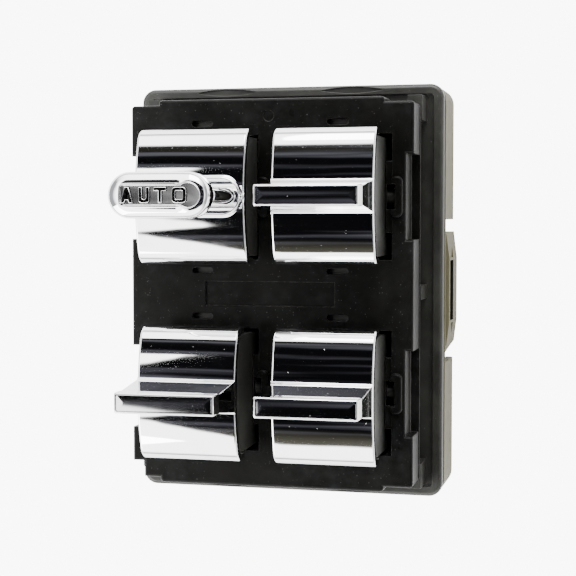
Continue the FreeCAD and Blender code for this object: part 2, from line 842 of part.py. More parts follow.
def driver_cap(name, side, row):
    """Wider chrome cap with an oval boss for the driver's knob."""
    x, y = station_centre(side, row)
    middle = x + d.driver_cap_shift
    shell = cap_shell("shell_" + name, d.driver_cap_width)
    place(shell, middle, y, ZERO)
    boss = stadium("boss_" + name, middle, y, d.boss_length, d.boss_width,
                   (d.cap_crest - d.cap_skin / 2, d.cap_crest + d.boss_height))
    keep("driver_cap", fuse("cap_" + name, [shell, boss]))
    seat = d.cap_crest + d.boss_height
    head = stadium("knob_head", middle, y, d.knob_length, d.knob_width,
                   (d.knob_top - d.knob_thickness, d.knob_top))
    head = rounded("knob_round", head, d.knob_round,
                   lambda edge: level_at(d.knob_top)(edge)
                   or level_at(d.knob_top - d.knob_thickness)(edge))
    stem = stadium("knob_stem", middle, y, d.stem_length, d.stem_width,
                   (seat, d.knob_top - d.knob_thickness / 2))
    depth = (d.knob_top - d.band_depth, d.knob_top + 1)
    band = box("knob_band", (middle - d.band_left, middle + d.band_right),
               around(y, d.band_height), depth)
    eye = post("knob_eye", d.band_eye, middle + d.band_right, y, depth)
    keep("driver_knob", cut("knob", fuse("knob_solid", [head, stem]), [band, eye]))


def carrier(name, side, row):
    """Hollow rocker under a cap, with pivot pins, a drive leg and a plunger sleeve."""
    x, y = station_centre(side, row)
    wide = d.cap_width
    middle = x
    if name == "front_left":
        wide = d.driver_cap_width
        middle = x + d.driver_cap_shift
    body = doc.addObject("PartDesign::Body", "head_" + name)
    half = d.carrier_length / 2
    top_half = lining_half - d.cap_fit
    top_side = lining_side - d.cap_fit
    sketch = outline(body, "head_outline_" + name, "YZ_Plane", [
        (-half, d.head_low), (half, d.head_low), (half, d.cap_foot),
        (top_half, top_side),
        (-top_half, top_side, d.crest_radius - d.cap_skin - d.cap_fit),
        (-half, d.cap_foot),
    ])
    pad(body, "head_pad_" + name, sketch, wide - d.head_inset * 2)
    place(body, middle, y, ZERO)
    roof = d.cap_foot - d.carrier_skin
    skirt = box("carrier_block_" + name, around(x, d.carrier_width), around(y, d.carrier_length),
                (d.carrier_low, d.head_low + d.carrier_skin))
    hollow = box("carrier_hollow_" + name, around(x, d.carrier_width - d.carrier_skin * 2),
                 around(y, d.carrier_length - d.carrier_skin * 2), (d.carrier_low - 1, roof))
    shell = cut("carrier_shell_" + name, fuse("carrier_solid_" + name, [body, skirt]), [hollow])
    reach = d.bay_width / 2 + d.pin_reach
    start = d.carrier_width / 2 - d.carrier_skin
    parts = [shell]
    for out in (-1, 1):
        pin = span(start, reach, out)
        parts.append(bar("pin_%s_%d" % (name, out + 1), d.pin_radius, (x + pin[0], x + pin[1]),
                         y, d.pivot_height))
    parts.append(box("leg_" + name, around(x, d.leg_width), around(y, d.leg_depth),
                     (d.tip_height, roof + d.carrier_skin / 2)))
    parts.append(bar("leg_tip_" + name, d.tip_radius, around(x, d.leg_width), y, d.tip_height))
    parts.append(box("web_" + name, around(x, d.carrier_skin),
                     around(y, d.carrier_length - d.carrier_skin),
                     (d.head_low - d.carrier_skin, roof + d.carrier_skin / 2)))
    sleeve = d.plunger_radius + d.pin_clearance + d.sleeve_skin
    parts.append(post("sleeve_" + name, sleeve, x + d.plunger_offset, y,
                      (d.sleeve_low, roof + d.carrier_skin / 2)))
    spring_top = d.plunger_low + d.plunger_length + d.spring_length
    bore = post("sleeve_bore_" + name, d.plunger_radius + d.pin_clearance, x + d.plunger_offset,
                y, (d.sleeve_low - 1, spring_top))
    keep("carrier_" + name, cut("carrier", fuse("carrier_parts_" + name, parts), [bore]))


def plunger(name, side, row):
    """Round-nosed detent plunger and the coil spring above it."""
    x, y = station_centre(side, row)
    centre = x + d.plunger_offset
    nose = doc.addObject("Part::Sphere", "nose_" + name)
    bind(nose, "Radius", d.plunger_radius)
    place(nose, centre, y, d.plunger_low + d.plunger_radius)
    top = d.plunger_low + d.plunger_length
    shank = post("shank_" + name, d.plunger_radius, centre, y,
                 (d.plunger_low + d.plunger_radius, top))
    keep("plunger_" + name, fuse("plunger_solid_" + name, [shank, nose]))
    wire = float(d.spring_wire)
    coil = float(d.plunger_radius - d.spring_wire * 0.5 - d.static_gap / 2)
    rise = float(d.spring_length) - wire
    helix = Part.makeHelix(rise / float(d.spring_turns), rise, coil)
    section = Part.makePolygon([
        Vector(coil - wire / 2, 0, -wire / 2), Vector(coil + wire / 2, 0, -wire / 2),
        Vector(coil + wire / 2, 0, wire / 2), Vector(coil - wire / 2, 0, wire / 2),
        Vector(coil - wire / 2, 0, -wire / 2)])
    thing = doc.addObject("Part::Feature", "spring_" + name)
    thing.Shape = Part.Wire(helix).makePipeShell([section], True, True)
    place(thing, centre, y, top + d.spring_wire / 2)
    keep("spring_" + name, thing)


def contact_slide(name, side, row):
    """Slide driven by the rocker's leg, with the sprung wiper plate under it."""
    x, y = station_centre(side, row)
    slot = (around(x, d.leg_width + d.running_gap * 2),
            around(y, d.tip_radius * 2 + d.running_gap * 2))
    block = box("slide_block_" + name, around(x, d.slide_width), around(y, d.slide_length),
                (slide_low, slide_top))
    hole = box("slide_slot_" + name, slot[0], slot[1], (slide_low - 1, slide_top + 1))
    keep("contact_slide_" + name, cut("slide_" + name, block, [hole]))
    under = slide_low - d.wiper_skin
    plate = box("wiper_plate_" + name, around(x, d.wiper_width), around(y, d.wiper_length),
                (under, slide_low))
    gap = box("wiper_slot_" + name, slot[0], slot[1], (under - 1, slide_low + 1))
    parts = [cut("wiper_open_" + name, plate, [gap])]
    for sx, sy in corner_signs:
        parts.append(post("wiper_tip_%s_%d_%d" % (name, sx + 1, sy + 1), d.wiper_tip_radius,
                          x + d.contact_across / 2 * sx, y + d.contact_along / 2 * 1.5 * sy,
                          (under - d.wiper_dome, under)))
    keep("wiper_" + name, fuse("wiper_solid_" + name, parts))


def fixed_contacts():
    """Rivet pads on the board under each contact slide."""
    pads = []
    for name, side, row in STATIONS:
        x, y = station_centre(side, row)
        for sx in (-1, 1):
            for step in (-1, 0, 1):
                pads.append(box("pad_%s_%d_%d" % (name, sx + 1, step + 1),
                                around(x + d.contact_across / 2 * sx, d.pad_width),
                                around(y + d.contact_along * step, d.pad_length),
                                (board_top, board_top + d.pad_skin)))
    keep("fixed_contacts", group("contacts", pads))


def circuit_board():
    """Board that carries the fixed contacts, clamped between the frame and cover pillars."""
    board = slab("board_blank", around(ZERO, d.board_width), around(ZERO, d.board_length),
                 (d.board_low, board_top), d.box_skin)
    through = (d.board_low - 1, board_top + 1)
    tools = []
    for x, y in screw_points():
        tools.append(post("board_hole_%d_%d" % (x > 0, y > 0), d.screw_radius + d.static_gap,
                          x, y, through))
    for number, (x, y) in enumerate(terminal_points()):
        tools.append(box("board_pin_%d" % number, around(x, d.terminal_size + d.static_gap),
                         around(y, d.terminal_size + d.static_gap), through))
    keep("circuit_board", cut("board", board, tools))


def connector():
    """Plug socket that opens in the back, and its terminals."""
    inset = d.header_skin
    wide = d.header_width / 2
    long = d.header_length / 2
    block = slab("header_block", (-wide, wide), (-long, long), (ZERO, d.board_low), d.plate_edge)
    roof = d.board_low - d.header_floor
    cavity = box("header_cavity", (inset - wide, wide - inset), (inset - long, long - inset),
                 (ZERO - 1, roof))
    open_block = cut("header_open", block, [cavity])
    key = box("header_key", around(ZERO, d.key_width), (long - inset - d.key_depth, long),
              (ZERO, roof + inset))
    holes = []
    pins = []
    for number, (x, y) in enumerate(terminal_points()):
        loose = d.terminal_size + d.pin_clearance * 2
        holes.append(box("header_hole_%d" % number, around(x, loose), around(y, loose),
                         (roof - 1, d.board_low + 1)))
        pins.append(box("terminal_%d" % number, around(x, d.terminal_size),
                        around(y, d.terminal_size),
                        (d.terminal_low, board_top + d.terminal_stub)))
    keep("connector_header", cut("header", fuse("header_solid", [open_block, key]), holes))
    keep("terminal_pins", group("terminals", pins))


def rear_cover():
    """Cover of the inner box, with pillars up to the board and sunk screw seats."""
    wide = d.box_width / 2 - d.box_skin - d.static_gap
    long = d.box_length / 2 - d.box_skin - d.static_gap
    parts = [slab("cover_plate", (-wide, wide), (-long, long), (ZERO, d.cover_skin), d.plate_edge)]
    tools = [box("cover_mouth", around(ZERO, header_hole[0]), around(ZERO, header_hole[1]),
                 (ZERO - 1, d.cover_skin + 1))]
    for x, y in screw_points():
        name = "%d_%d" % (x > 0, y > 0)
        parts.append(post("cover_pillar_" + name, d.pillar_radius, x, y, (ZERO, d.board_low)))
        tools.append(post("cover_hole_" + name, d.screw_radius + d.static_gap, x, y,
                          (ZERO - 1, d.board_low + 1)))
        tools.append(post("cover_seat_" + name, d.head_radius + d.static_gap, x, y,
                          (ZERO - 1, screw_seat)))
    keep("rear_cover", cut("cover", fuse("cover_solid", parts), tools))


def cover_screws():
    """Four like screws that hold cover, board and frame together."""
    screws = []
    for x, y in screw_points():
        name = "%d_%d" % (x > 0, y > 0)
        head = post("screw_head_" + name, d.head_radius, x, y, (d.recess_margin, screw_seat))
        shank = post("screw_shank_" + name, d.screw_radius, x, y,
                     (screw_seat - d.head_height / 4, screw_seat + d.screw_reach))
        deep = (ZERO, d.recess_margin + d.head_height / 2)
        cross = [
            box("cross_a_" + name, around(x, d.head_radius * 1.2), around(y, d.recess_margin * 2),
                deep),
            box("cross_b_" + name, around(x, d.recess_margin * 2), around(y, d.head_radius * 1.2),
                deep),
        ]
        screws.append(cut("screw_" + name, fuse("screw_solid_" + name, [head, shank]), cross))
    keep("cover_screws", group("screws", screws))


rear_housing()
flange_frame()
faceplate()
for name, side, row in STATIONS:
    if name == "front_left":
        driver_cap(name, side, row)
    else:
        paddle_cap(name, side, row)
    carrier(name, side, row)
    plunger(name, side, row)
    contact_slide(name, side, row)
fixed_contacts()
circuit_board()
connector()
rear_cover()
cover_screws()

doc.recompute()

for thing in doc.Objects:
    if "Invalid" in thing.State or "Error" in thing.State:
        raise RuntimeError("%s did not build" % thing.Label)
for piece in PIECES:
    if piece.Shape.isNull() or not piece.Shape.isValid():
        raise RuntimeError("%s has no sound shape" % piece.Label)

for piece in PIECES:
    piece.Shape.exportStep("parts/%s.step" % piece.Label)
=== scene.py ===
import json
import math

import bpy
from mathutils import Matrix, Vector


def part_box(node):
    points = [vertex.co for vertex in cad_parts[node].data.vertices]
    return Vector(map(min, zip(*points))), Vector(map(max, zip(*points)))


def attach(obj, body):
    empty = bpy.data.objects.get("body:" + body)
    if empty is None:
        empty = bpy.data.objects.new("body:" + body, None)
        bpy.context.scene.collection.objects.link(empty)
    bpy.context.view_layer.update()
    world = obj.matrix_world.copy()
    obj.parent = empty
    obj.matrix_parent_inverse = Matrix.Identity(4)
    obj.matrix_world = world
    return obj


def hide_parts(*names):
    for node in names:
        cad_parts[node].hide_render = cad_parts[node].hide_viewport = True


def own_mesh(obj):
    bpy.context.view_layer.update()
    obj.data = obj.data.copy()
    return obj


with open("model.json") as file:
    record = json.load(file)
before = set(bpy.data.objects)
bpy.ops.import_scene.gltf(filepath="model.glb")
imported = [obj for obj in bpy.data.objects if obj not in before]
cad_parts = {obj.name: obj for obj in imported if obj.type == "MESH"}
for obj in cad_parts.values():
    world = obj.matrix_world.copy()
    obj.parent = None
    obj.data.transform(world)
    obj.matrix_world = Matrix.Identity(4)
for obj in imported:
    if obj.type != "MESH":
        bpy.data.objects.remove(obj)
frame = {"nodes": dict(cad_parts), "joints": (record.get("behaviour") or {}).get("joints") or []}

bl_info = {
    "name": "Window switch looks",
    "version": (1, 0, 0),
    "blender": (4, 5, 0),
    "location": "View3D > Sidebar > Window Switch",
    "description": "Chrome rockers, knob, plastics and stage for a four-rocker window switch",
    "category": "Object",
}

MM = 0.001
QUARTER = math.pi / 2
CORNERS = ((1, 1), (-1, 1), (-1, -1), (1, -1))
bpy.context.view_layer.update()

# Each station: its name, the body it rides on, and the Y of its pivot in metres.
STATIONS = {joint["name"].removeprefix("tilt_"): (joint["child"], joint["pos_m"][1])
            for joint in frame["joints"] if joint["name"].startswith("tilt_")}


def node_box(node):
    low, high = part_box(node)
    return Vector(low), Vector(high)


def box_over_pivot(node, pivot):
    """The corners of a node's box, and the point midway across it at its pivot's Y."""
    low, high = node_box(node)
    return low, high, Vector(((low.x + high.x) / 2, pivot, 0))


# Settings


def length_setting(name, description, size):
    """A length that a user can change, given in millimetres."""
    return bpy.props.FloatProperty(name=name, description=description, default=size * MM,
                                   unit="LENGTH")


def share_setting(name, description, value):
    return bpy.props.FloatProperty(name=name, description=description, default=value,
                                   min=0, max=1)


def light_setting(name, description, value):
    return bpy.props.FloatProperty(name=name, description=description, default=value, min=0)


def colour_setting(name, description, value):
    return bpy.props.FloatVectorProperty(name=name, description=description, default=value,
                                         size=3, subtype="COLOR", min=0, max=1)


class ChromeSettings(bpy.types.PropertyGroup):
    edge_round: length_setting("Edge round", "Rounding of the caps' side edges", 0.45)
    tint: colour_setting("Tint", "Colour of the chrome plating", (0.90, 0.90, 0.91))
    polish: share_setting("Roughness", "Roughness of clean plating", 0.035)
    ripple: share_setting("Ripple", "Strength of the moulding ripple under the plating", 0.03)


class CapSettings(bpy.types.PropertyGroup):
    length: length_setting("Length", "Length of a cap over both rolled ends", 31.0)
    crest_length: length_setting("Crest length", "Length of the bowed middle of a cap", 25.4)
    crest_radius: length_setting("Crest radius", "Radius of the bowed middle", 42.0)
    end_radius: length_setting("End radius", "Radius of the rolled ends", 4.1)
    crest: length_setting(
        "Crest height", "Height of the crest above the back of the switch", 53.05)
    foot: length_setting("Foot height", "Height of the rolled ends' lower edge", 46.9)
    skirt: length_setting("Skirt", "Straight drop below the rolled ends", 1.85)
    skin: length_setting("Wall", "Wall thickness of a cap", 1.6)


class BladeSettings(bpy.types.PropertyGroup):
    neck: length_setting("Neck", "Thickness of the paddle below its head", 4.2)
    head: length_setting("Head", "Thickness of the paddle's head", 4.6)
    root: length_setting("Root", "Thickness where the flare meets the cap", 7.8)
    flare: length_setting("Flare", "Height of the flare above the crest", 0.7)
    fillet: length_setting("Fillet", "Reach of the flare beyond the drafted neck", 0.5)
    margin: length_setting("Panel margin", "Width of the frame round the tip's panel", 0.40)
    inset: length_setting("Side inset", "How far a paddle stays in from the cap's side edge", 0.15)
    panel_depth: length_setting("Panel depth", "Depth of the tip's panel", 0.20)
    bulge: length_setting("Panel bulge", "Height of the panel's middle above its rim", 0.05)
    draft: length_setting("Draft", "How far each side of the head leans in towards its top", 0.12)


class KnobSettings(bpy.types.PropertyGroup):
    boss_width: length_setting("Boss width", "Width of the oval boss on the cap", 9.0)
    boss_length: length_setting("Boss length", "Length of the oval boss on the cap", 24.9)
    stem_width: length_setting("Stem width", "Width of the oval stem", 3.6)
    stem_length: length_setting("Stem length", "Length of the oval stem", 22.4)
    head_height: length_setting("Head height", "Height of the knob's oval head", 5.2)
    band_height: length_setting("Band height", "Height of the sunk band for the word", 4.3)
    band_depth: length_setting("Band depth", "Depth of the sunk band", 0.5)
    eye_radius: length_setting("Eye radius", "Radius of the band's round end", 2.75)
    letter_height: length_setting("Letter height", "Height of the raised letters", 3.35)
    boss_edge: length_setting("Boss edge", "Rounding of the boss's upper edge", 0.5)
    head_edge: length_setting("Head edge", "Rounding of the head's underside", 1.2)
    dome: length_setting("Dome", "Height of the head's domed top", 1.7)
    band_left: length_setting("Band left", "From the knob's middle to the band's square end", 8.3)
    band_right: length_setting("Band right", "From the knob's middle to the middle of its eye", 6.8)


class SpringSettings(bpy.types.PropertyGroup):
    wire: length_setting("Wire", "Diameter of the springs' wire", 0.35)
    turns: bpy.props.IntProperty(
        name="Turns", description="Turns of each spring", default=6, min=1)


class PlasticSettings(bpy.types.PropertyGroup):
    black: colour_setting("Black", "Colour of the black mouldings", (0.0026, 0.0026, 0.0023))
    skirt: colour_setting("Skirt", "Colour of the pale rear housing", (0.106, 0.099, 0.060))
    dust: share_setting("Dust", "Share of the black surface that carries dust specks", 0.6)
    grain: share_setting("Grain", "Strength of the moulded grain", 0.25)


class StageSettings(bpy.types.PropertyGroup):
    floor: colour_setting("Floor", "Colour of the floor", (0.93, 0.93, 0.93))
    floor_light: light_setting("Floor light", "Brightness the floor sends to the switch", 1.0)
    tent: light_setting("Tent brightness", "Brightness of the light tent", 5.5)
    horizon: light_setting("Horizon brightness", "Brightness of the tent's foot", 0.9)
    opening: bpy.props.FloatProperty(
        name="Tent opening", description="Half angle, front to back, of the tent's dark opening",
        default=math.radians(36.5), subtype="ANGLE")
    lens: bpy.props.FloatProperty(
        name="Lens", description="Focal length on a 36 mm sensor", default=88.6, min=1)
    eye: bpy.props.FloatVectorProperty(
        name="Camera", description="Place of the camera", default=(0.08368, 0.01792, 0.35880),
        size=3, subtype="TRANSLATION", unit="LENGTH")


# Mesh making

# How close to an edge a ring of points lies that keeps the faces beside it flat.
SUPPORT = 0.05 * MM


def quarter_turn(steps, first=0):
    """Sine, and one less the cosine, at even steps over a quarter turn."""
    for i in range(first, steps + 1):
        angle = QUARTER * i / steps
        yield math.sin(angle), 1 - math.cos(angle)


def sweep_angles(start, sweep, steps):
    return [start + sweep * i / steps for i in range(steps + 1)]


def arc_points(centre_x, centre_y, radius, start, sweep, steps):
    return [(centre_x + radius * math.cos(angle), centre_y + radius * math.sin(angle))
            for angle in sweep_angles(start, sweep, steps)]


def fresh_object(name, mesh):
    piece = bpy.data.objects.new(name, mesh)
    bpy.context.scene.collection.objects.link(piece)
    return piece


def smooth(mesh, crease):
    """Smooth shading, apart from edges sharper than crease, in degrees."""
    for face in mesh.polygons:
        face.use_smooth = True
    mesh.set_sharp_from_angle(angle=math.radians(crease))


def turn_outward(piece):
    """Flips the faces if the skin encloses a negative volume."""
    mesh = piece.data
    volume = 0.0
    for face in mesh.polygons:
        corners = [mesh.vertices[i].co for i in face.vertices]
        for i in range(1, len(corners) - 1):
            volume += corners[0].dot(corners[i].cross(corners[i + 1]))
    if volume < 0:
        mesh.flip_normals()
    return piece


def skin_from_rings(name, rings, fill="face", crease=38.0):
    """A closed smooth skin through rings of points, each with the same number of points.

    Both ends are filled, by one "face" each or by a "strip" that joins a ring's two halves.
    """
    count = len(rings[0])
    points = [tuple(point) for ring in rings for point in ring]
    faces = []
    for level in range(len(rings) - 1):
        here = level * count
        for i in range(count):
            after = (i + 1) % count
            faces.append((here + i, here + after, here + count + after, here + count + i))
    for start, turned in ((0, True), ((len(rings) - 1) * count, False)):
        loops = [[start + i for i in range(count)]]
        if fill == "strip":
            loops = [[start + i, start + i + 1, start + count - 2 - i, start + count - 1 - i]
                     for i in range(count // 2 - 1)]
        faces += [tuple(reversed(loop)) if turned else tuple(loop) for loop in loops]
    mesh = bpy.data.meshes.new(name)
    mesh.from_pydata(points, [], faces)
    mesh.validate()
    mesh.update()
    smooth(mesh, crease)
    return turn_outward(fresh_object(name, mesh))


def join_pieces(pieces, name):
    bpy.ops.object.select_all(action="DESELECT")
    for piece in pieces:
        piece.select_set(True)
    bpy.context.view_layer.objects.active = pieces[0]
    bpy.ops.object.join()
    joined = bpy.context.view_layer.objects.active
    joined.name = name
    joined.data.name = name
    return joined


def arc_through(start, end, radius, steps):
    """Points and outward directions of an arc that bulges to the left of the way walked."""
    a = Vector(start)
    b = Vector(end)
    chord = b - a
    left = Vector((-chord.y, chord.x)).normalized()
    back = math.sqrt(max(radius * radius - chord.length_squared / 4, 0.0))
    centre = (a + b) / 2 - left * back
    first = math.atan2(a.y - centre.y, a.x - centre.x)
    last = math.atan2(b.y - centre.y, b.x - centre.x)
    if last > first:
        last -= math.tau
    outs = [Vector((math.cos(angle), math.sin(angle)))
            for angle in sweep_angles(first, last - first, steps)]
    return [(centre + out * radius, out) for out in outs]


def bow(half, foot, drop, side_half, side, end_radius, crest_radius, steps=14):
    """One side of a cap's profile: skirt, rolled end, bowed crest, rolled end and skirt."""
    first = arc_through((-half, foot), (-side_half, side), end_radius, steps)
    crest = arc_through((-side_half, side), (side_half, side), crest_radius, steps * 3)
    last = arc_through((side_half, side), (half, foot), end_radius, steps)
    fall = [(Vector((half, foot - drop * share)), Vector((1.0, 0.0))) for share in (0.5, 1.0)]
    rise = [(Vector((-point.x, point.y)), -out) for point, out in reversed(fall)]
    return rise + first + crest[1:-1] + last + fall


def rounded_ends(half, radius, steps=6, support=0.04 * MM):
    """Stations along a width with rounded ends: (distance, inset), from low to high."""
    side = [(half - radius - support, 0.0)]
    for sine, fall in quarter_turn(steps):
        side.append((half - radius + radius * sine, radius * fall))
    return [(-x, inset) for x, inset in reversed(side)] + side


def cap_skin(name, middle, width, cap, edge):
    """The bowed shell of one cap, with rounded side edges."""
    # Where the lining's corner lies, as shares of the wall.
    corner_in = 0.45
    corner_down = 0.95
    half = cap.length / 2
    side_half = cap.crest_length / 2
    side = cap.crest - cap.crest_radius + math.sqrt(cap.crest_radius ** 2 - side_half ** 2)
    outer = bow(half, cap.foot, cap.skirt, side_half, side, cap.end_radius, cap.crest_radius)
    inner = bow(half - cap.skin, cap.foot, cap.skirt, side_half - cap.skin * corner_in,
                side - cap.skin * corner_down, cap.end_radius - cap.skin,
                cap.crest_radius - cap.skin)
    rings = []
    for distance, inset in rounded_ends(width / 2, edge):
        spots = [point - out * inset for point, out in outer]
        spots += [point for point, out in reversed(inner)]
        rings.append([(middle.x + distance, middle.y + spot.x, spot.y) for spot in spots])
    return skin_from_rings(name, rings, "strip")


def rounded_oblong(middle, half_x, half_y, corner, height, steps=6):
    """A ring round an oblong with rounded corners, level at the given height."""
    ring = []
    corner = max(min(corner, half_x, half_y), 0.0)
    for quarter, (sx, sy) in enumerate(CORNERS):
        start = QUARTER * quarter
        end = start + QUARTER
        arc = arc_points(middle.x + sx * (half_x - corner), middle.y + sy * (half_y - corner),
                         corner, start, QUARTER, steps)
        ring.append((arc[0][0] + math.sin(start) * SUPPORT,
                     arc[0][1] - math.cos(start) * SUPPORT, height))
        ring += [(x, y, height) for x, y in arc]
        ring.append((arc[-1][0] - math.sin(end) * SUPPORT,
                     arc[-1][1] + math.cos(end) * SUPPORT, height))
    return ring


def blade_skin(name, middle, width, tip, cap, blade):
    """Upright finger paddle: flared root, neck, thicker head and a framed panel on its tip."""
    sunk = 1.5 * MM
    root_corner = 0.1 * MM
    root_lean = 0.1 * MM
    neck_corner = 0.15 * MM
    head_corner = 0.35 * MM
    tip_corner = 0.5 * MM
    panel_corner = 0.40 * MM
    shoulder = tip - 4.6 * MM
    shoulder_rise = 0.9 * MM
    tip_round = 0.45 * MM
    slope = 0.18 * MM
    slope_outside = 0.4
    bulge_gap = 0.08 * MM
    bulge_corner = 0.3 * MM
    half = width / 2
    neck = blade.neck / 2
    head = blade.head / 2
    root = blade.root / 2
    flush = half + blade.inset - 0.01 * MM
    foot = cap.crest - root ** 2 / (2 * cap.crest_radius)
    thick = root - blade.fillet
    # Each level: height, half width, half thickness and corner radius.
    levels = [(foot - sunk, flush, root, root_corner)]
    steps = 8
    for i, (sine, fall) in enumerate(quarter_turn(steps)):
        levels.append((foot + (cap.crest + blade.flare - foot) * fall,
                       flush - root_lean * i / steps, thick + (root - thick) * (1 - sine),
                       root_corner))
    levels.append((shoulder - 0.3 * MM, half, neck, neck_corner))
    for i in range(5):
        share = i / 4
        ease = share * share * (3 - 2 * share)
        levels.append((shoulder + shoulder_rise * share, half, neck + (head - neck) * ease,
                       neck_corner + (head_corner - neck_corner) * ease))
    half -= blade.draft
    levels.append((tip - tip_round - SUPPORT, half, head, head_corner))
    for sine, fall in quarter_turn(8):
        inset = tip_round * fall
        levels.append((tip - tip_round + tip_round * sine, half - inset, head - inset,
                       tip_corner))
    for sine, fall in quarter_turn(5):
        step = blade.margin + slope * fall - slope * slope_outside
        levels.append((tip - blade.panel_depth * sine, half - step, head - step, panel_corner))
    rim = blade.margin + slope * (1 - slope_outside) + bulge_gap
    steps = 9
    for i in range(steps):
        share = i / steps
        step = rim + (head - rim) * share
        lift = blade.bulge * (1 - (1 - share) ** 2)
        levels.append((tip - blade.panel_depth + lift, half - step, head - step,
                       bulge_corner * (1 - share)))
    return skin_from_rings(name, [rounded_oblong(middle, half_x, half_y, corner, height)
                                  for height, half_x, half_y, corner in levels])


def level_ring(middle, height, right_end, left_end, steps=10):
    """A level ring through the points of two ends, with even steps on the straights between."""
    ring = []
    for near, far in ((right_end, left_end), (left_end, right_end)):
        ring += near
        x, y = near[-1]
        along = far[0][0] - x
        ring += [(x + along * i / steps, y) for i in range(1, steps)]
    return [(middle.x + x, middle.y + y, height) for x, y in ring]


def stadium_ring(middle, reach, radius, height, steps=20):
    """A level ring round a bar with round ends, starting at the lower right."""
    right_end = arc_points(reach, 0, radius, -QUARTER, math.pi, steps)
    left_end = arc_points(-reach, 0, radius, QUARTER, math.pi, steps)
    return level_ring(middle, height, right_end, left_end)


def band_ring(middle, reach, knob, grow, height, steps=20):
    """A level ring round the knob's sunk band: a square left end and a round right end."""
    squareness = 9
    half = knob.band_height / 2 + grow
    radius = knob.eye_radius + grow
    meet = math.pi - math.asin(half / radius)
    right_end = arc_points(knob.band_right, 0, radius, -meet, 2 * meet, steps)
    left_end = []
    out = knob.band_left + grow - reach
    for angle in sweep_angles(QUARTER, math.pi, steps):
        c = abs(math.cos(angle)) / out
        s = abs(math.sin(angle)) / half
        distance = (c ** squareness + s ** squareness) ** (-1 / squareness)
        left_end.append((distance * math.cos(angle) - reach, distance * math.sin(angle)))
    return level_ring(middle, height, right_end, left_end)


def coil_skin(name, middle, radius, wire, low, high, turns):
    """A coil of round wire between two heights, rising in even turns."""
    steps = 22 * turns
    sides = 8
    rings = []
    for i in range(steps + 1):
        share = i / steps
        angle = math.tau * turns * share
        out = Vector((math.cos(angle), math.sin(angle), 0))
        centre = Vector((middle.x, middle.y, low + wire + (high - low - 2 * wire) * share))
        centre += out * radius
        rings.append([centre + out * wire * math.cos(turn)
                      + Vector((0, 0, 1)) * wire * math.sin(turn)
                      for turn in (math.tau * k / sides for k in range(sides))])
    return skin_from_rings(name, rings, crease=60.0)


def between(first, second, share):
    return [tuple(a + (b - a) * share for a, b in zip(p, q)) for p, q in zip(first, second)]


def lifted(ring, height):
    return [(x, y, height) for x, y, _ in ring]


def letter_outlines():
    """Outlines of the word's block letters: closed loops in letter heights, (x, y) pairs."""
    bar = 0.235
    wide = 0.86
    foot = bar * 1.12
    apex = 0.14
    lean = 0.075
    inner_lean = 0.135
    a = [
        [(0, 0), (foot, 0), (foot + lean, 0.2), (wide - foot - lean, 0.2), (wide - foot, 0),
         (wide, 0), (wide / 2 + apex, 1), (wide / 2 - apex, 1)],
        [(foot + inner_lean, 0.38), (wide - foot - inner_lean, 0.38), (wide / 2, 0.76)],
    ]
    turn = 0.22
    u_wide = 0.76
    cut = 0.08
    u = [(0, 1), (0, turn)]
    u += arc_points(turn, turn, turn, math.pi, QUARTER, 8)[1:]
    u += arc_points(u_wide - turn, turn, turn, math.pi * 1.5, QUARTER, 8)[1:]
    u += [(u_wide, 1), (u_wide - bar, 1), (u_wide - bar, bar + cut), (u_wide - bar - 0.07, bar),
          (bar + 0.07, bar), (bar, bar + cut), (bar, 1)]
    middle = wide / 2
    t = [(middle - bar / 2, 0), (middle + bar / 2, 0), (middle + bar / 2, 1 - bar),
         (wide, 1 - bar), (wide, 1), (0, 1), (0, 1 - bar), (middle - bar / 2, 1 - bar)]
    o_half = 0.48
    o = []
    for inset, corner in ((0.0, 0.26), (bar, 0.07)):
        loop = []
        for quarter, (sx, sy) in enumerate(CORNERS):
            loop += arc_points(o_half + sx * (o_half - inset - corner),
                               0.5 + sy * (0.5 - inset - corner), corner, QUARTER * quarter,
                               QUARTER, 6)
        o.append(loop)
    return {"A": a, "U": [u], "T": [t], "O": o}


def letter_piece(name, loops, corner, width, height, low, rise):
    """A raised letter with a fine bevel, from closed loops scaled to a width and height."""
    bevel = 0.12 * MM
    curve = bpy.data.curves.new(name, "CURVE")
    curve.dimensions = "2D"
    curve.fill_mode = "BOTH"
    curve.bevel_depth = bevel
    curve.bevel_resolution = 3
    curve.extrude = rise / 2 - bevel
    curve.offset = -bevel
    natural = max(x for loop in loops for x, y in loop)
    for loop in loops:
        spline = curve.splines.new("POLY")
        spline.points.add(len(loop) - 1)
        for point, (x, y) in zip(spline.points, loop):
            point.co = (x / natural * width, y * height, 0, 1)
        spline.use_cyclic_u = True
    holder = bpy.data.objects.new(name, curve)
    mesh = bpy.data.meshes.new_from_object(holder)
    bpy.data.objects.remove(holder)
    mesh.name = name
    mesh.transform(Matrix.Translation((corner.x, corner.y, low + rise / 2)))
    smooth(mesh, 50.0)
    return fresh_object(name, mesh)


# Material making

DUST_FILM = (0.20, 0.21, 0.23)
DUST_SPECK = (0.22, 0.22, 0.21)
# Lighter edge colour: partly wear, partly painted highlight.
EDGE_WEAR_AND_HIGHLIGHT = (0.055, 0.054, 0.048)
# Painted shade: near-black colour on the walls inside the latch window.
WINDOW_SHADE = (0.006, 0.006, 0.004)
DULL_SPECK = (0.55, 0.55, 0.53)
LETTER_BRIGHT = (0.88, 0.88, 0.89)
# Painted reflection: the letters' flat tops get a near-black colour for the dark tent opening
# mirrored in them.
LETTER_DARK_REFLECTION = (0.02, 0.02, 0.022)
LETTER_REFLECTION_MOTTLE = (0.06, 0.058, 0.056)
GRAIN_DEPTH = 0.02 * MM

GROUPS = {}
FINISHES = {}


def shaded(colour, share=1.0):
    return tuple(min(c * share, 1.0) for c in colour)


def feed(tree, value, socket):
    """Links a socket to another one, or sets it to a number or to an opaque colour."""
    if isinstance(value, bpy.types.NodeSocket):
        tree.links.new(value, socket)
    elif isinstance(value, tuple):
        socket.default_value = (*value, 1.0)
    else:
        socket.default_value = value


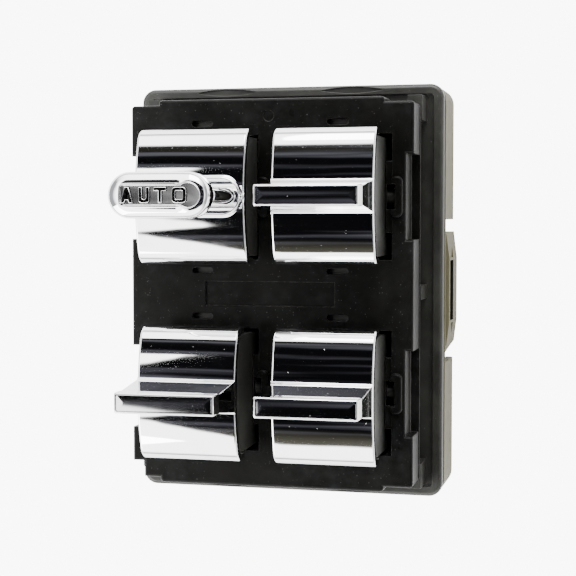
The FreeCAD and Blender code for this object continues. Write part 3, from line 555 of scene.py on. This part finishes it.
def add_node(tree, kind, inputs=None, **settings):
    """A new node's outputs, once its settings are made and its inputs are fed."""
    node = tree.nodes.new("ShaderNode" + kind)
    for label, value in settings.items():
        setattr(node, label, value)
    for label, value in (inputs or {}).items():
        feed(tree, value, node.inputs[label])
    return node.outputs


def group_of(name, inputs, outputs):
    """A new node group, the sockets it is given and the sockets it fills."""
    group = bpy.data.node_groups.new(name, "ShaderNodeTree")
    for label, value in inputs.items():
        kind = "NodeSocketVector" if value is None else "NodeSocketFloat"
        socket = group.interface.new_socket(name=label, in_out="INPUT", socket_type=kind)
        if value is not None:
            socket.default_value = value
    for label in outputs:
        kind = "NodeSocketVector" if label == "Normal" else "NodeSocketFloat"
        group.interface.new_socket(name=label, in_out="OUTPUT", socket_type=kind)
    entry = group.nodes.new("NodeGroupInput")
    way_out = group.nodes.new("NodeGroupOutput")
    return group, entry.outputs, way_out.inputs


def calculate(tree, operation, *values, clamp=False):
    """A Math node; each value is a number or a socket."""
    return add_node(tree, "Math", dict(enumerate(values)), operation=operation,
                    use_clamp=clamp)[0]


def times(tree, first, second):
    return calculate(tree, "MULTIPLY", first, second)


def scaled(tree, value, factor, offset, clamp=False):
    return calculate(tree, "MULTIPLY_ADD", value, factor, offset, clamp=clamp)


def noise(tree, place, scale, detail=3.0, rough=0.55):
    return add_node(tree, "TexNoise", {"Detail": detail, "Roughness": rough, "Scale": scale,
                                       "Vector": place})["Fac"]


def ramp(tree, value, low, high):
    """0 at low and 1 at high, smooth between."""
    return add_node(tree, "MapRange", {"From Min": low, "From Max": high, "Value": value},
                    interpolation_type="SMOOTHSTEP")["Result"]


def mix_colour(tree, share, first, second):
    return add_node(tree, "Mix", {0: share, 6: first, 7: second}, data_type="RGBA")[2]


def build_dust_group():
    """Scattered pale specks and a thin haze of dust."""
    group, given, result = group_of(
        "dust_specks", {"Vector": None, "Scale": 900.0, "Amount": 0.35}, ("Specks", "Haze"))
    masks = []
    # Two sizes of cell, each with the radius of its largest speck as a share of the cell.
    for factor, size in ((1.0, 0.075), (2.3, 0.10)):
        cells = add_node(group, "TexVoronoi", {
            "Vector": given["Vector"], "Scale": times(group, given["Scale"], factor)},
            feature="F1")
        parts = add_node(group, "SeparateColor", {0: cells["Color"]})
        chosen = calculate(group, "LESS_THAN", parts[0], given["Amount"])
        spread = scaled(group, parts[1], size, size * 0.35)
        near = calculate(group, "LESS_THAN", cells["Distance"], spread)
        bright = scaled(group, parts[2], 0.8, 0.2)
        masks.append(times(group, times(group, chosen, near), bright))
    both = calculate(group, "MAXIMUM", masks[0], masks[1])
    cloud = noise(group, given["Vector"], 55.0, 4.0, 0.6)
    drift = noise(group, given["Vector"], 420.0, 3.0, 0.6)
    haze = times(group, ramp(group, cloud, 0.35, 0.75), ramp(group, drift, 0.3, 0.8))
    patch = scaled(group, cloud, 1.4, 0.1, clamp=True)
    feed(group, times(group, both, patch), result["Specks"])
    feed(group, haze, result["Haze"])
    return group


def build_grain_group():
    """Fine moulded grain with a slower wave under it."""
    group, given, result = group_of("moulded_grain", {"Vector": None, "Scale": 5200.0},
                                    ("Height",))
    slow_share = 0.06
    fine = noise(group, given["Vector"], given["Scale"], 2.0, 0.5)
    slow = noise(group, given["Vector"], times(group, given["Scale"], slow_share), 2.0, 0.5)
    feed(group, scaled(group, slow, 0.6, fine), result["Height"])
    return group


def build_edge_group():
    """Edge mask and softened normal where two faces meet; finishes lighten edges by the mask,
    partly as wear and partly as painted highlight.
    """
    group, given, result = group_of("soft_edges", {"Wear": 0.5, "Vector": None},
                                    ("Normal", "Edge"))
    soft = add_node(group, "Bevel", {"Radius": 0.22 * MM}, samples=6)[0]
    plain = add_node(group, "NewGeometry")["Normal"]
    dot = add_node(group, "VectorMath", {0: soft, 1: plain}, operation="DOT_PRODUCT")["Value"]
    turned = calculate(group, "SUBTRACT", 1.0, dot)
    broken = noise(group, given["Vector"], 900.0, 3.0, 0.6)
    edge = times(group, ramp(group, turned, 0.02, 0.16), ramp(group, broken, 0.3, 0.7))
    feed(group, times(group, edge, given["Wear"]), result["Edge"])
    feed(group, soft, result["Normal"])
    return group


def effect(name):
    makers = {"dust": build_dust_group, "grain": build_grain_group, "edges": build_edge_group}
    if name not in GROUPS:
        GROUPS[name] = makers[name]()
    return GROUPS[name]


def made_once(maker):
    """Makes a finish when its name is first asked for, and hands the same one out later."""
    def kept(name, *values, **named):
        if name not in FINISHES:
            FINISHES[name] = maker(name, *values, **named)
        return FINISHES[name]
    return kept


def new_finish(name):
    """An empty material: its tree, shader and object coordinates."""
    finish = bpy.data.materials.new(name)
    finish.use_nodes = True
    tree = finish.node_tree
    shader = tree.nodes["Principled BSDF"]
    return finish, tree, shader, add_node(tree, "TexCoord")["Object"]


def place_group(tree, name, place, **values):
    return add_node(tree, "Group", {"Vector": place, **values}, node_tree=effect(name))


def add_bump(tree, shader, height, strength, distance, **others):
    bump = add_node(tree, "Bump", {"Strength": strength, "Distance": distance,
                                   "Height": height, **others})
    feed(tree, bump["Normal"], shader.inputs["Normal"])


def coat(tree, shader, base, rough, label, value):
    """Feeds a shader its colour and roughness, and sets one more of its sockets."""
    feed(tree, base, shader.inputs["Base Color"])
    feed(tree, rough, shader.inputs["Roughness"])
    shader.inputs[label].default_value = value


@made_once
def black_plastic(name, colour, roughness, dust, grain, haze, edge_wear_and_highlight, shine):
    """Black moulding with grain, softened edges lightened partly as wear and partly as painted
    highlight, dust specks and haze.
    """
    finish, tree, shader, place = new_finish(name)
    specks = place_group(tree, "dust", place, Scale=720.0, Amount=dust)
    grained = place_group(tree, "grain", place)
    edges = place_group(tree, "edges", place, Wear=edge_wear_and_highlight)
    cloudy = noise(tree, place, 90.0, 4.0, 0.6)
    brighter = tuple(c * 1.9 + 0.0008 for c in colour)
    base = mix_colour(tree, ramp(tree, cloudy, 0.3, 0.75), colour, brighter)
    base = mix_colour(tree, times(tree, specks["Haze"], haze * 0.05), base, DUST_FILM)
    # Edges lightened by the edge mask: partly wear, partly a painted highlight where the rounding
    # catches the light.
    base = mix_colour(tree, edges["Edge"], base, EDGE_WEAR_AND_HIGHLIGHT)
    base = mix_colour(tree, times(tree, specks["Specks"], 0.45), base, DUST_SPECK)
    rough = scaled(tree, cloudy, 0.16, roughness - 0.08)
    rough = scaled(tree, specks["Haze"], 0.10, rough, clamp=True)
    coat(tree, shader, base, rough, "Specular IOR Level", shine)
    add_bump(tree, shader, grained["Height"], grain, GRAIN_DEPTH, Normal=edges["Normal"])
    return finish


def inside_box(tree, place, low, high):
    """1 inside a box given by two corners, 0 outside; the box is mirrored in X."""
    x, y, z = add_node(tree, "SeparateXYZ", {0: place})
    found = 1.0
    for value, least, most in zip((calculate(tree, "ABSOLUTE", x), y, z), low, high):
        found = times(tree, found, calculate(tree, "GREATER_THAN", value, least))
        found = times(tree, found, calculate(tree, "LESS_THAN", value, most))
    return found


@made_once
def plain_plastic(name, colour, roughness, grain=0.2, dirt=0.3, shine=0.4, shade=None):
    """Moulded plastic in one colour with faint mottling, dirt and grain, edges lightened partly as
    wear and partly as painted highlight, and near-black painted shade inside an optional box.
    """
    finish, tree, shader, place = new_finish(name)
    grained = place_group(tree, "grain", place, Scale=3600.0)
    edges = place_group(tree, "edges", place, Wear=0.3)
    cloudy = noise(tree, place, 70.0, 4.0, 0.6)
    streaks = noise(tree, place, 380.0, 3.0, 0.55)
    grubby = tuple(c * share for c, share in zip(colour, (0.55, 0.55, 0.45)))
    base = mix_colour(tree, ramp(tree, cloudy, 0.3, 0.7), colour, shaded(colour, 0.86))
    base = mix_colour(tree, times(tree, ramp(tree, streaks, 0.55, 0.85), dirt), base, grubby)
    # Edges lightened by the edge mask: partly wear, partly painted highlight.
    base = mix_colour(tree, edges["Edge"], base, shaded(colour, 1.15))
    if shade is not None:
        # Painted shade: inside the given box the colour turns near-black, standing in for the shade
        # within the latch window.
        base = mix_colour(tree, inside_box(tree, place, *shade), base, WINDOW_SHADE)
    rough = scaled(tree, streaks, 0.14, roughness - 0.07, clamp=True)
    coat(tree, shader, base, rough, "Specular IOR Level", shine)
    add_bump(tree, shader, grained["Height"], grain, GRAIN_DEPTH, Normal=edges["Normal"])
    return finish


@made_once
def chrome_plating(name, tint, polish, ripple):
    """Bright plating over moulded plastic: slow ripple, faint smears and fine specks."""
    finish, tree, shader, place = new_finish(name)
    specks = place_group(tree, "dust", place, Scale=620.0, Amount=0.10)["Specks"]
    cloudy = noise(tree, place, 160.0, 3.0, 0.6)
    wave = noise(tree, place, 75.0, 1.5, 0.4)
    base = mix_colour(tree, ramp(tree, cloudy, 0.45, 0.8), tint, shaded(tint, 0.93))
    base = mix_colour(tree, times(tree, specks, 0.35), base, DULL_SPECK)
    rough = scaled(tree, ramp(tree, cloudy, 0.5, 0.9), 0.025, polish)
    rough = scaled(tree, specks, 0.35, rough, clamp=True)
    coat(tree, shader, base, rough, "Metallic", 1.0)
    add_bump(tree, shader, wave, ripple, 1.2 * MM)
    return finish


@made_once
def bare_metal(name, colour, roughness):
    """Plain metal with fine mottling, a soft edge, and edges lightened partly as wear and partly as
    painted highlight.
    """
    finish, tree, shader, place = new_finish(name)
    edges = place_group(tree, "edges", place, Wear=0.4)
    mottled = noise(tree, place, 1500.0, 3.0, 0.55)
    base = mix_colour(tree, ramp(tree, mottled, 0.3, 0.7), colour, shaded(colour, 0.8))
    # Edges lightened by the edge mask: partly wear, partly painted highlight.
    base = mix_colour(tree, edges["Edge"], base, shaded(colour, 1.2))
    rough = scaled(tree, mottled, 0.2, roughness - 0.1, clamp=True)
    coat(tree, shader, base, rough, "Metallic", 1.0)
    add_bump(tree, shader, mottled, 0.12, GRAIN_DEPTH, Normal=edges["Normal"])
    return finish


@made_once
def plated_letter(name):
    """Chrome bevels, and a painted dark reflection on the raised letters' flat tops."""
    finish, tree, shader, place = new_finish(name)
    facing = add_node(tree, "SeparateXYZ", {0: add_node(tree, "TexCoord")["Normal"]})
    flat = ramp(tree, facing["Z"], 0.93, 0.985)
    mottled = noise(tree, place, 2400.0, 2.0, 0.5)
    # Painted reflection: flat tops turn near-black, standing in for the dark opening that flat
    # chrome would mirror.
    dark = mix_colour(tree, ramp(tree, mottled, 0.35, 0.75), LETTER_DARK_REFLECTION, LETTER_REFLECTION_MOTTLE)
    rough = scaled(tree, mottled, 0.10, 0.06)
    coat(tree, shader, mix_colour(tree, flat, LETTER_BRIGHT, dark), rough, "Metallic", 1.0)
    return finish


def dress(piece, finish):
    """Gives its finish to a new piece, or to the frame's node of that name."""
    if isinstance(piece, str):
        piece = frame["nodes"][piece]
    piece.data.materials.clear()
    piece.data.materials.append(finish)


def dress_sunk(piece, finish, low, high):
    """A second finish on the level faces whose height lies between low and high."""
    level = 0.9
    piece.data.materials.append(finish)
    for face in piece.data.polygons:
        if low < face.center.z < high and face.normal.z > level:
            face.material_index = len(piece.data.materials) - 1


def settle(piece, body, slot, *nodes):
    """Hangs a new piece on its body and hides the nodes that it stands for; the slot it is given is
    not used.
    """
    if nodes:
        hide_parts(*nodes)
    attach(piece, body)


def chrome():
    chosen = bpy.context.scene.switch_chrome
    return chrome_plating("chrome", shaded(chosen.tint), chosen.polish, chosen.ripple)


def satin_chrome(name, share, roughness):
    chosen = bpy.context.scene.switch_chrome
    return chrome_plating(name, shaded(chosen.tint, share), roughness, chosen.ripple)


def black(name, roughness, haze, edge_wear_and_highlight, shine, lift=1.0):
    """A black finish whose colour is the chosen black times lift."""
    chosen = bpy.context.scene.switch_plastic
    return black_plastic(name, shaded(chosen.black, lift), roughness, chosen.dust,
                         chosen.grain, haze, edge_wear_and_highlight, shine)


# Operators


class WINDOWSWITCH_OT_paddle_caps(bpy.types.Operator):
    """Makes the three chrome caps with upright finger paddles"""
    bl_idname = "windowswitch.paddle_caps"
    bl_label = "Paddle caps"

    def execute(self, context):
        cap = context.scene.switch_cap
        blade = context.scene.switch_blade
        edge = context.scene.switch_chrome.edge_round
        for name, (body, pivot) in STATIONS.items():
            node = "paddle_cap_" + name
            if node not in frame["nodes"]:
                continue
            low, high, middle = box_over_pivot(node, pivot)
            width = high.x - low.x
            shell = cap_skin("shell_" + name, middle, width, cap, edge)
            paddle = blade_skin("blade_" + name, middle, width - blade.inset * 2, high.z, cap,
                                blade)
            piece = join_pieces([shell, paddle], "chrome_paddle_" + name)
            dress(piece, chrome())
            dress_sunk(piece, satin_chrome("satin_panel", share=0.60, roughness=0.055),
                       high.z - blade.panel_depth - 0.02 * MM, high.z - 0.04 * MM)
            settle(piece, body, "chrome_trim", node)
        return {"FINISHED"}


class WINDOWSWITCH_OT_driver_cap(bpy.types.Operator):
    """Makes the wider chrome cap and its oval boss"""
    bl_idname = "windowswitch.driver_cap"
    bl_label = "Driver's cap"

    def execute(self, context):
        cap = context.scene.switch_cap
        knob = context.scene.switch_knob
        body, pivot = STATIONS["front_left"]
        low, high, middle = box_over_pivot("driver_cap", pivot)
        shell = cap_skin("driver_shell", middle, high.x - low.x, cap,
                         context.scene.switch_chrome.edge_round)
        radius = knob.boss_width / 2
        reach = knob.boss_length / 2 - radius
        top = high.z
        turn = knob.boss_edge
        foot = cap.crest - radius ** 2 / (2 * cap.crest_radius)
        # The boss's foot: how far it spreads, and its height over the crest's drop.
        rings = [stadium_ring(middle, reach, radius + spread * MM, foot + rise * MM)
                 for spread, rise in ((0.25, -0.4), (0.25, 0.0), (0.05, 0.12))]
        for sine, fall in quarter_turn(8):
            rings.append(stadium_ring(middle, reach, radius - turn * fall,
                                      top - turn + turn * sine))
        rings.append(stadium_ring(middle, reach, radius - turn - SUPPORT, top))
        boss = skin_from_rings("driver_boss", rings)
        piece = join_pieces([shell, boss], "chrome_driver_cap")
        dress(piece, chrome())
        settle(piece, body, "chrome_trim", "driver_cap")
        return {"FINISHED"}


class WINDOWSWITCH_OT_driver_knob(bpy.types.Operator):
    """Makes the driver's oval knob, its sunk band and the raised letters"""
    bl_idname = "windowswitch.driver_knob"
    bl_label = "Driver's knob"

    # The band's wall: how far each ring lies outside the band, and how deep, in millimetres.
    BAND_WALL = ((0.06, 0.015), (0.02, 0.05), (0.0, 0.1), (-0.04, 0.36), (-0.08, 0.45),
                 (-0.16, 0.49), (-0.24, 0.5))
    # Each letter: where it starts beside the knob's middle, and its width, in millimetres.
    LETTERS = {"A": (-8.1, 2.8), "U": (-4.0, 2.4), "T": (-0.6, 2.7), "O": (3.35, 3.2)}

    def execute(self, context):
        knob = context.scene.switch_knob
        body, pivot = STATIONS["front_left"]
        low, high, middle = box_over_pivot("driver_knob", pivot)
        outer = (high.y - low.y) / 2
        reach = (high.x - low.x) / 2 - outer
        rings = self.stem_rings(knob, middle, reach, outer, low.z, high.z)
        rings += self.head_rings(knob, middle, reach, outer, high.z)
        floor = high.z - knob.band_depth
        head = skin_from_rings("chrome_driver_knob", rings, crease=60.0)
        dress(head, chrome())
        dress_sunk(head, satin_chrome("satin_band", share=0.12, roughness=0.24),
                   floor - 0.02 * MM, floor + 0.03 * MM)
        settle(head, body, "chrome_trim", "driver_knob")
        height = knob.letter_height
        outlines = letter_outlines()
        for letter, (start, width) in self.LETTERS.items():
            corner = Vector((middle.x + start * MM, middle.y - height / 2, 0))
            piece = letter_piece("knob_letter_" + letter, outlines[letter], corner, width * MM,
                                 height, floor - 0.02 * MM, knob.band_depth - 0.08 * MM)
            dress(piece, plated_letter("letters"))
            settle(piece, body, "chrome_trim")
        return {"FINISHED"}

    def stem_rings(self, knob, middle, reach, outer, seat, top):
        """The stem from its seat, its throat and the head's rounded underside."""
        stem = knob.stem_width / 2
        stem_reach = knob.stem_length / 2 - stem
        fillet = 0.2 * MM
        throat = 0.6 * MM
        edge = knob.head_edge
        under = top - knob.head_height
        rings = [stadium_ring(middle, stem_reach, stem + fillet * (1 - sine), seat + fillet * fall)
                 for sine, fall in quarter_turn(6)]
        neck = stadium_ring(middle, stem_reach, stem, under - throat)
        wide = stadium_ring(middle, reach, outer - edge, under)
        rings.append(neck)
        for sine, fall in quarter_turn(6, 1):
            rings.append(lifted(between(neck, wide, fall), under - throat * (1 - sine)))
        for sine, fall in quarter_turn(8, 1):
            rings.append(stadium_ring(middle, reach, outer - edge * (1 - sine),
                                      under + edge * fall))
        return rings

    def head_rings(self, knob, middle, reach, outer, top):
        """The head's side, its domed top up to the band's lip and the band's wall."""
        shoulder = top - knob.dome
        side = stadium_ring(middle, reach, outer, shoulder)
        lip = band_ring(middle, reach, knob, 0.12 * MM, top)
        rings = [lifted(side, shoulder - 0.1 * MM)]
        sweep = math.radians(76)
        for angle in sweep_angles(0, sweep, 16):
            share = (1 - math.cos(angle)) / (1 - math.cos(sweep))
            rise = math.sin(angle) / math.sin(sweep)
            rings.append(lifted(between(side, lip, share), shoulder + (top - shoulder) * rise))
        return rings + [band_ring(middle, reach, knob, grow * MM, top - drop * MM)
                        for grow, drop in self.BAND_WALL]


class WINDOWSWITCH_OT_black_parts(bpy.types.Operator):
    """Finishes the faceplate, the flange and the rocker bodies"""
    bl_idname = "windowswitch.black_parts"
    bl_label = "Black mouldings"

    def execute(self, context):
        dress("faceplate", black("black_satin", roughness=0.30, haze=0.6, edge_wear_and_highlight=1.0, shine=0.08))
        dress("flange_frame", black("black_frame", roughness=0.34, haze=0.5, edge_wear_and_highlight=0.9,
                                    shine=0.35, lift=5.5))
        for name in STATIONS:
            dress("carrier_" + name, black("black_rocker", roughness=0.42, haze=2.0, edge_wear_and_highlight=0.5,
                                           shine=0.4, lift=7.0))
        return {"FINISHED"}


class WINDOWSWITCH_OT_rear_housing(bpy.types.Operator):
    """Finishes the pale rear housing"""
    bl_idname = "windowswitch.rear_housing"
    bl_label = "Rear housing"

    def execute(self, context):
        skirt = shaded(context.scene.switch_plastic.skirt)
        # The latch window's inner walls get painted shade, a near-black colour: how far in it
        # reaches, and the window's size.
        deep = 3.4 * MM
        face = 0.06 * MM
        half = 7.45 * MM
        foot = 6.95 * MM
        head = 13.05 * MM
        side = node_box("rear_housing")[1].x
        window = ((side - deep, -half, foot), (side - face, half, head))
        dress("rear_housing", plain_plastic("pale_skirt", skirt, roughness=0.55, dirt=0.35,
                                            shine=0.12, shade=window))
        dress("rear_cover", plain_plastic("pale_cover", shaded(skirt, 0.92), roughness=0.52,
                                          grain=0.25, shine=0.2))
        return {"FINISHED"}


class WINDOWSWITCH_OT_small_parts(bpy.types.Operator):
    """Finishes the connector, screws, board, contacts, slides and plungers"""
    bl_idname = "windowswitch.small_parts"
    bl_label = "Small parts"

    # Each finish: its maker, colour and roughness.
    SMALL_FINISHES = {
        "header_plastic": (plain_plastic, (0.045, 0.045, 0.05), 0.45),
        "zinc_steel": (bare_metal, (0.62, 0.60, 0.54), 0.34),
        "tinned_metal": (bare_metal, (0.72, 0.71, 0.68), 0.28),
        "contact_metal": (bare_metal, (0.80, 0.62, 0.36), 0.3),
        "board_laminate": (plain_plastic, (0.10, 0.20, 0.08), 0.4),
        "slide_plastic": (plain_plastic, (0.60, 0.59, 0.55), 0.4),
        "plunger_plastic": (plain_plastic, (0.72, 0.72, 0.70), 0.35),
    }

    def execute(self, context):
        wanted = {"connector_header": "header_plastic", "cover_screws": "zinc_steel",
                  "terminal_pins": "tinned_metal", "fixed_contacts": "contact_metal",
                  "circuit_board": "board_laminate"}
        for name in STATIONS:
            wanted["contact_slide_" + name] = "slide_plastic"
            wanted["plunger_" + name] = "plunger_plastic"
            wanted["wiper_" + name] = "contact_metal"
        for node, name in wanted.items():
            maker, colour, roughness = self.SMALL_FINISHES[name]
            dress(node, maker(name, colour, roughness))
        return {"FINISHED"}


class WINDOWSWITCH_OT_springs(bpy.types.Operator):
    """Makes the four plunger springs"""
    bl_idname = "windowswitch.springs"
    bl_label = "Plunger springs"

    def execute(self, context):
        chosen = context.scene.switch_spring
        wire = chosen.wire / 2
        for name, (body, _) in STATIONS.items():
            low, high = node_box("spring_" + name)
            middle = (low + high) / 2
            radius = (high.x - low.x) / 2 - wire
            coil = coil_skin("coil_" + name, middle, radius, wire, low.z, high.z, chosen.turns)
            dress(coil, bare_metal("spring_wire", (0.55, 0.55, 0.54), 0.3))
            settle(coil, body, "zinc_steel", "spring_" + name)
            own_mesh(coil)
        return {"FINISHED"}


class WINDOWSWITCH_OT_stage(bpy.types.Operator):
    """Lays the floor, puts up the light tent and places the camera"""
    bl_idname = "windowswitch.stage"
    bl_label = "Stage"

    BACKGROUND_LIGHT = 9.0
    SIDE_WALLS = (0.55, 0.56, 0.58)
    ROOM = (0.004, 0.004, 0.005)
    ROOM_STREAKS = (0.16, 0.16, 0.19)
    WARM_EDGE = (0.15, 0.145, 0.105)

    # The dark opening, with two bright cards across its left part. Each value is a tangent:
    # a way sideways or forwards over the height above the switch. A pair is either the two
    # ends of a soft edge, or the slope and offset of a slanting one.
    DRIFT = (0.08, -0.04)
    OPENING_FAR = (-0.02, -0.06)
    OPENING_RIGHT = (1.05, 0.95)
    OPENING_LEFT = (0.56, 0.50)
    NEAR_BEND = 0.32
    NEAR_SLOPE = 4.6
    NEAR_DROP = 0.06
    BACK_CARD_SIDE = (0.330, 0.345)
    BACK_CARD_SLANT = (-3.2, 1.417)
    BACK_CARD_END = (0.365, 0.35)
    FRONT_CARD_SIDE = (0.315, 0.335)
    FRONT_CARD_FAR_SLANT = (2.5, -1.115)
    FRONT_CARD_NEAR_SLANT = (-1.3, 0.086)

    # Soft panels beside the switch: name, place, width and power.
    PANELS = (("panel_left", (-0.42, -0.30, 0.34), 0.42, 5.0),
              ("panel_back", (0.05, 0.55, 0.40), 0.40, 4.0))

    CAMERA_TURN = ((0.97087, -0.01194, 0.23933), (0.0, 0.99876, 0.04981),
                   (-0.23963, -0.04836, 0.96967))

    def execute(self, context):
        chosen = context.scene.switch_stage
        self.lay_floor(chosen)
        self.put_up_tent(context.scene, chosen)
        self.hang_panels()
        self.place_camera(context.scene, chosen)
        return {"FINISHED"}

    def lay_floor(self, chosen):
        """Pale paper that shows white to the camera, and nothing at all from below."""
        mesh = bpy.data.meshes.new("floor")
        reach = 4.0
        low = -0.02 * MM
        mesh.from_pydata([(-reach, -reach, low), (reach, -reach, low), (reach, reach, low),
                          (-reach, reach, low)], [], [(0, 1, 2, 3)])
        floor = fresh_object("floor", mesh)
        finish, tree, shader, place = new_finish("floor_paper")
        fibre = noise(tree, place, 260.0, 4.0, 0.6)
        feed(tree, mix_colour(tree, fibre, shaded(chosen.floor), shaded(chosen.floor, 0.985)),
             shader.inputs["Base Color"])
        for label, value in (("Roughness", 0.85), ("Specular IOR Level", 0.2),
                             ("Emission Color", (1.0, 1.0, 1.0, 1.0)),
                             ("Emission Strength", chosen.floor_light)):
            shader.inputs[label].default_value = value
        bright = add_node(tree, "Emission", {"Strength": self.BACKGROUND_LIGHT})[0]
        seen = add_node(tree, "MixShader", {0: add_node(tree, "LightPath")["Is Camera Ray"],
                                            1: shader.outputs[0], 2: bright})[0]
        clear = add_node(tree, "BsdfTransparent")[0]
        under = add_node(tree, "MixShader", {0: add_node(tree, "NewGeometry")["Backfacing"],
                                             1: seen, 2: clear})[0]
        feed(tree, under, tree.nodes["Material Output"].inputs["Surface"])
        dress(floor, finish)

    def put_up_tent(self, scene, chosen):
        """A bright tent round the switch whose oblong opening above it stays dark."""
        world = bpy.data.worlds.new("light_tent")
        scene.world = world
        world.use_nodes = True
        tree = world.node_tree
        way = add_node(tree, "TexCoord")["Generated"]
        x, y, z = add_node(tree, "SeparateXYZ", {0: way})
        height = calculate(tree, "MAXIMUM", z, 0.02)
        across = calculate(tree, "DIVIDE", x, height)
        along = calculate(tree, "DIVIDE", y, height)
        drift = scaled(tree, noise(tree, way, 3.0, 2.0, 0.5), *self.DRIFT)
        wavy = calculate(tree, "ADD", along, drift)
        left = times(tree, across, -1.0)
        open_sky = self.opening(tree, chosen, across, left, wavy)
        cards = calculate(tree, "MAXIMUM", self.back_card(tree, left, along),
                          self.front_card(tree, left, along))
        share = times(tree, open_sky, calculate(tree, "SUBTRACT", 1.0, cards))
        share = times(tree, share, ramp(tree, left, *self.OPENING_LEFT))
        walls = mix_colour(tree, ramp(tree, z, 0.04, 0.36),
                           tuple(chosen.horizon * c for c in (0.98, 1.0, 1.02)),
                           tuple(chosen.tent * c for c in (1.0, 0.995, 0.985)))
        walls = mix_colour(tree, self.sides(tree, x, y, z), walls, self.SIDE_WALLS)
        colour = mix_colour(tree, share, walls, self.inside(tree, across, wavy))
        feed(tree, colour, tree.nodes["Background"].inputs["Color"])

    def opening(self, tree, chosen, across, left, wavy):
        """Mask of the opening without its cards; its near edge slants on the left."""
        reach = math.tan(chosen.opening)
        outer, inner = self.OPENING_FAR
        past = calculate(tree, "MAXIMUM", calculate(tree, "SUBTRACT", left, self.NEAR_BEND), 0.0)
        near = scaled(tree, past, self.NEAR_SLOPE, -reach - self.NEAR_DROP)
        share = times(tree, ramp(tree, wavy, reach + outer, reach + inner),
                      self.above(tree, wavy, near, 0.03))
        return times(tree, share, ramp(tree, across, *self.OPENING_RIGHT))

    def back_card(self, tree, left, along):
        slant = scaled(tree, left, *self.BACK_CARD_SLANT)
        card = times(tree, ramp(tree, left, *self.BACK_CARD_SIDE),
                     self.above(tree, along, slant, 0.02))
        return times(tree, card, ramp(tree, along, *self.BACK_CARD_END))

    def front_card(self, tree, left, along):
        far = scaled(tree, left, *self.FRONT_CARD_FAR_SLANT)
        near = scaled(tree, left, *self.FRONT_CARD_NEAR_SLANT)
        card = times(tree, ramp(tree, left, *self.FRONT_CARD_SIDE),
                     self.above(tree, far, along, 0.03))
        return times(tree, card, self.above(tree, along, near, 0.015))

    def sides(self, tree, x, y, z):
        """Mask of the tent's dimmer left and right walls, below the bright roof."""
        flat = calculate(tree, "SQRT", scaled(tree, y, y, times(tree, x, x)))
        sideways = calculate(tree, "DIVIDE", calculate(tree, "ABSOLUTE", x),
                             calculate(tree, "MAXIMUM", flat, 0.001))
        return times(tree, ramp(tree, sideways, 0.40, 0.92), ramp(tree, z, 0.80, 0.50))

    def above(self, tree, value, bound, soft):
        """1 where value is above bound and 0 below it, with a soft step."""
        return ramp(tree, calculate(tree, "SUBTRACT", value, bound), -soft, soft)

    def inside(self, tree, across, along):
        """Near-black room seen through the opening, with dim streaks and a warm far edge."""
        spot = add_node(tree, "CombineXYZ", {0: times(tree, across, 2.2),
                                             1: times(tree, along, 9.0)})[0]
        streaks = noise(tree, spot, 0.8, 2.5, 0.5)
        colour = mix_colour(tree, ramp(tree, streaks, 0.46, 0.66), self.ROOM, self.ROOM_STREAKS)
        warm = calculate(tree, "ADD", times(tree, ramp(tree, along, -0.50, -0.80), 0.8),
                         times(tree, ramp(tree, along, 0.45, 0.68), 0.16))
        return mix_colour(tree, warm, colour, self.WARM_EDGE)

    def hang_panels(self):
        """Soft panels beside the switch."""
        for name, spot, size, power in self.PANELS:
            lamp = bpy.data.lights.new(name, "AREA")
            lamp.shape = "SQUARE"
            lamp.size = size
            lamp.energy = power
            holder = bpy.data.objects.new(name, lamp)
            holder.location = spot
            aim = Vector((0, 0, 0.03)) - Vector(spot)
            holder.rotation_euler = aim.to_track_quat("-Z", "Y").to_euler()
            bpy.context.scene.collection.objects.link(holder)

    def place_camera(self, scene, chosen):
        lens = bpy.data.cameras.new("camera")
        lens.lens = chosen.lens
        lens.sensor_width = 36.0
        lens.sensor_fit = "HORIZONTAL"
        lens.clip_start = 0.01
        lens.clip_end = 20.0
        camera = bpy.data.objects.new("camera", lens)
        turn = Matrix(self.CAMERA_TURN).to_4x4()
        camera.matrix_world = Matrix.Translation(Vector(chosen.eye)) @ turn
        scene.collection.objects.link(camera)
        scene.camera = camera


PARTS = (
    WINDOWSWITCH_OT_stage,
    WINDOWSWITCH_OT_paddle_caps,
    WINDOWSWITCH_OT_driver_cap,
    WINDOWSWITCH_OT_driver_knob,
    WINDOWSWITCH_OT_black_parts,
    WINDOWSWITCH_OT_rear_housing,
    WINDOWSWITCH_OT_small_parts,
    WINDOWSWITCH_OT_springs,
)

SETTINGS = {
    "switch_chrome": ChromeSettings,
    "switch_cap": CapSettings,
    "switch_blade": BladeSettings,
    "switch_knob": KnobSettings,
    "switch_spring": SpringSettings,
    "switch_plastic": PlasticSettings,
    "switch_stage": StageSettings,
}


class WINDOWSWITCH_PT_parts(bpy.types.Panel):
    """Lists the switch's pieces and their settings"""
    bl_label = "Window Switch"
    bl_idname = "WINDOWSWITCH_PT_parts"
    bl_space_type = "VIEW_3D"
    bl_region_type = "UI"
    bl_category = "Window Switch"

    def draw(self, context):
        for part in PARTS:
            self.layout.operator(part.bl_idname)
        for name, kind in SETTINGS.items():
            box = self.layout.box()
            chosen = getattr(context.scene, name)
            for field in kind.__annotations__:
                box.prop(chosen, field)


def register():
    for kind in (*SETTINGS.values(), *PARTS, WINDOWSWITCH_PT_parts):
        bpy.utils.register_class(kind)
    for name, kind in SETTINGS.items():
        setattr(bpy.types.Scene, name, bpy.props.PointerProperty(type=kind))


def unregister():
    for name in SETTINGS:
        delattr(bpy.types.Scene, name)
    for kind in reversed((*SETTINGS.values(), *PARTS, WINDOWSWITCH_PT_parts)):
        bpy.utils.unregister_class(kind)


def run_operator(part):
    group, name = part.bl_idname.split(".")
    getattr(getattr(bpy.ops, group), name)()


def main():
    register()
    for part in PARTS:
        run_operator(part)
    bpy.context.view_layer.update()


if __name__ == "__main__":
    main()
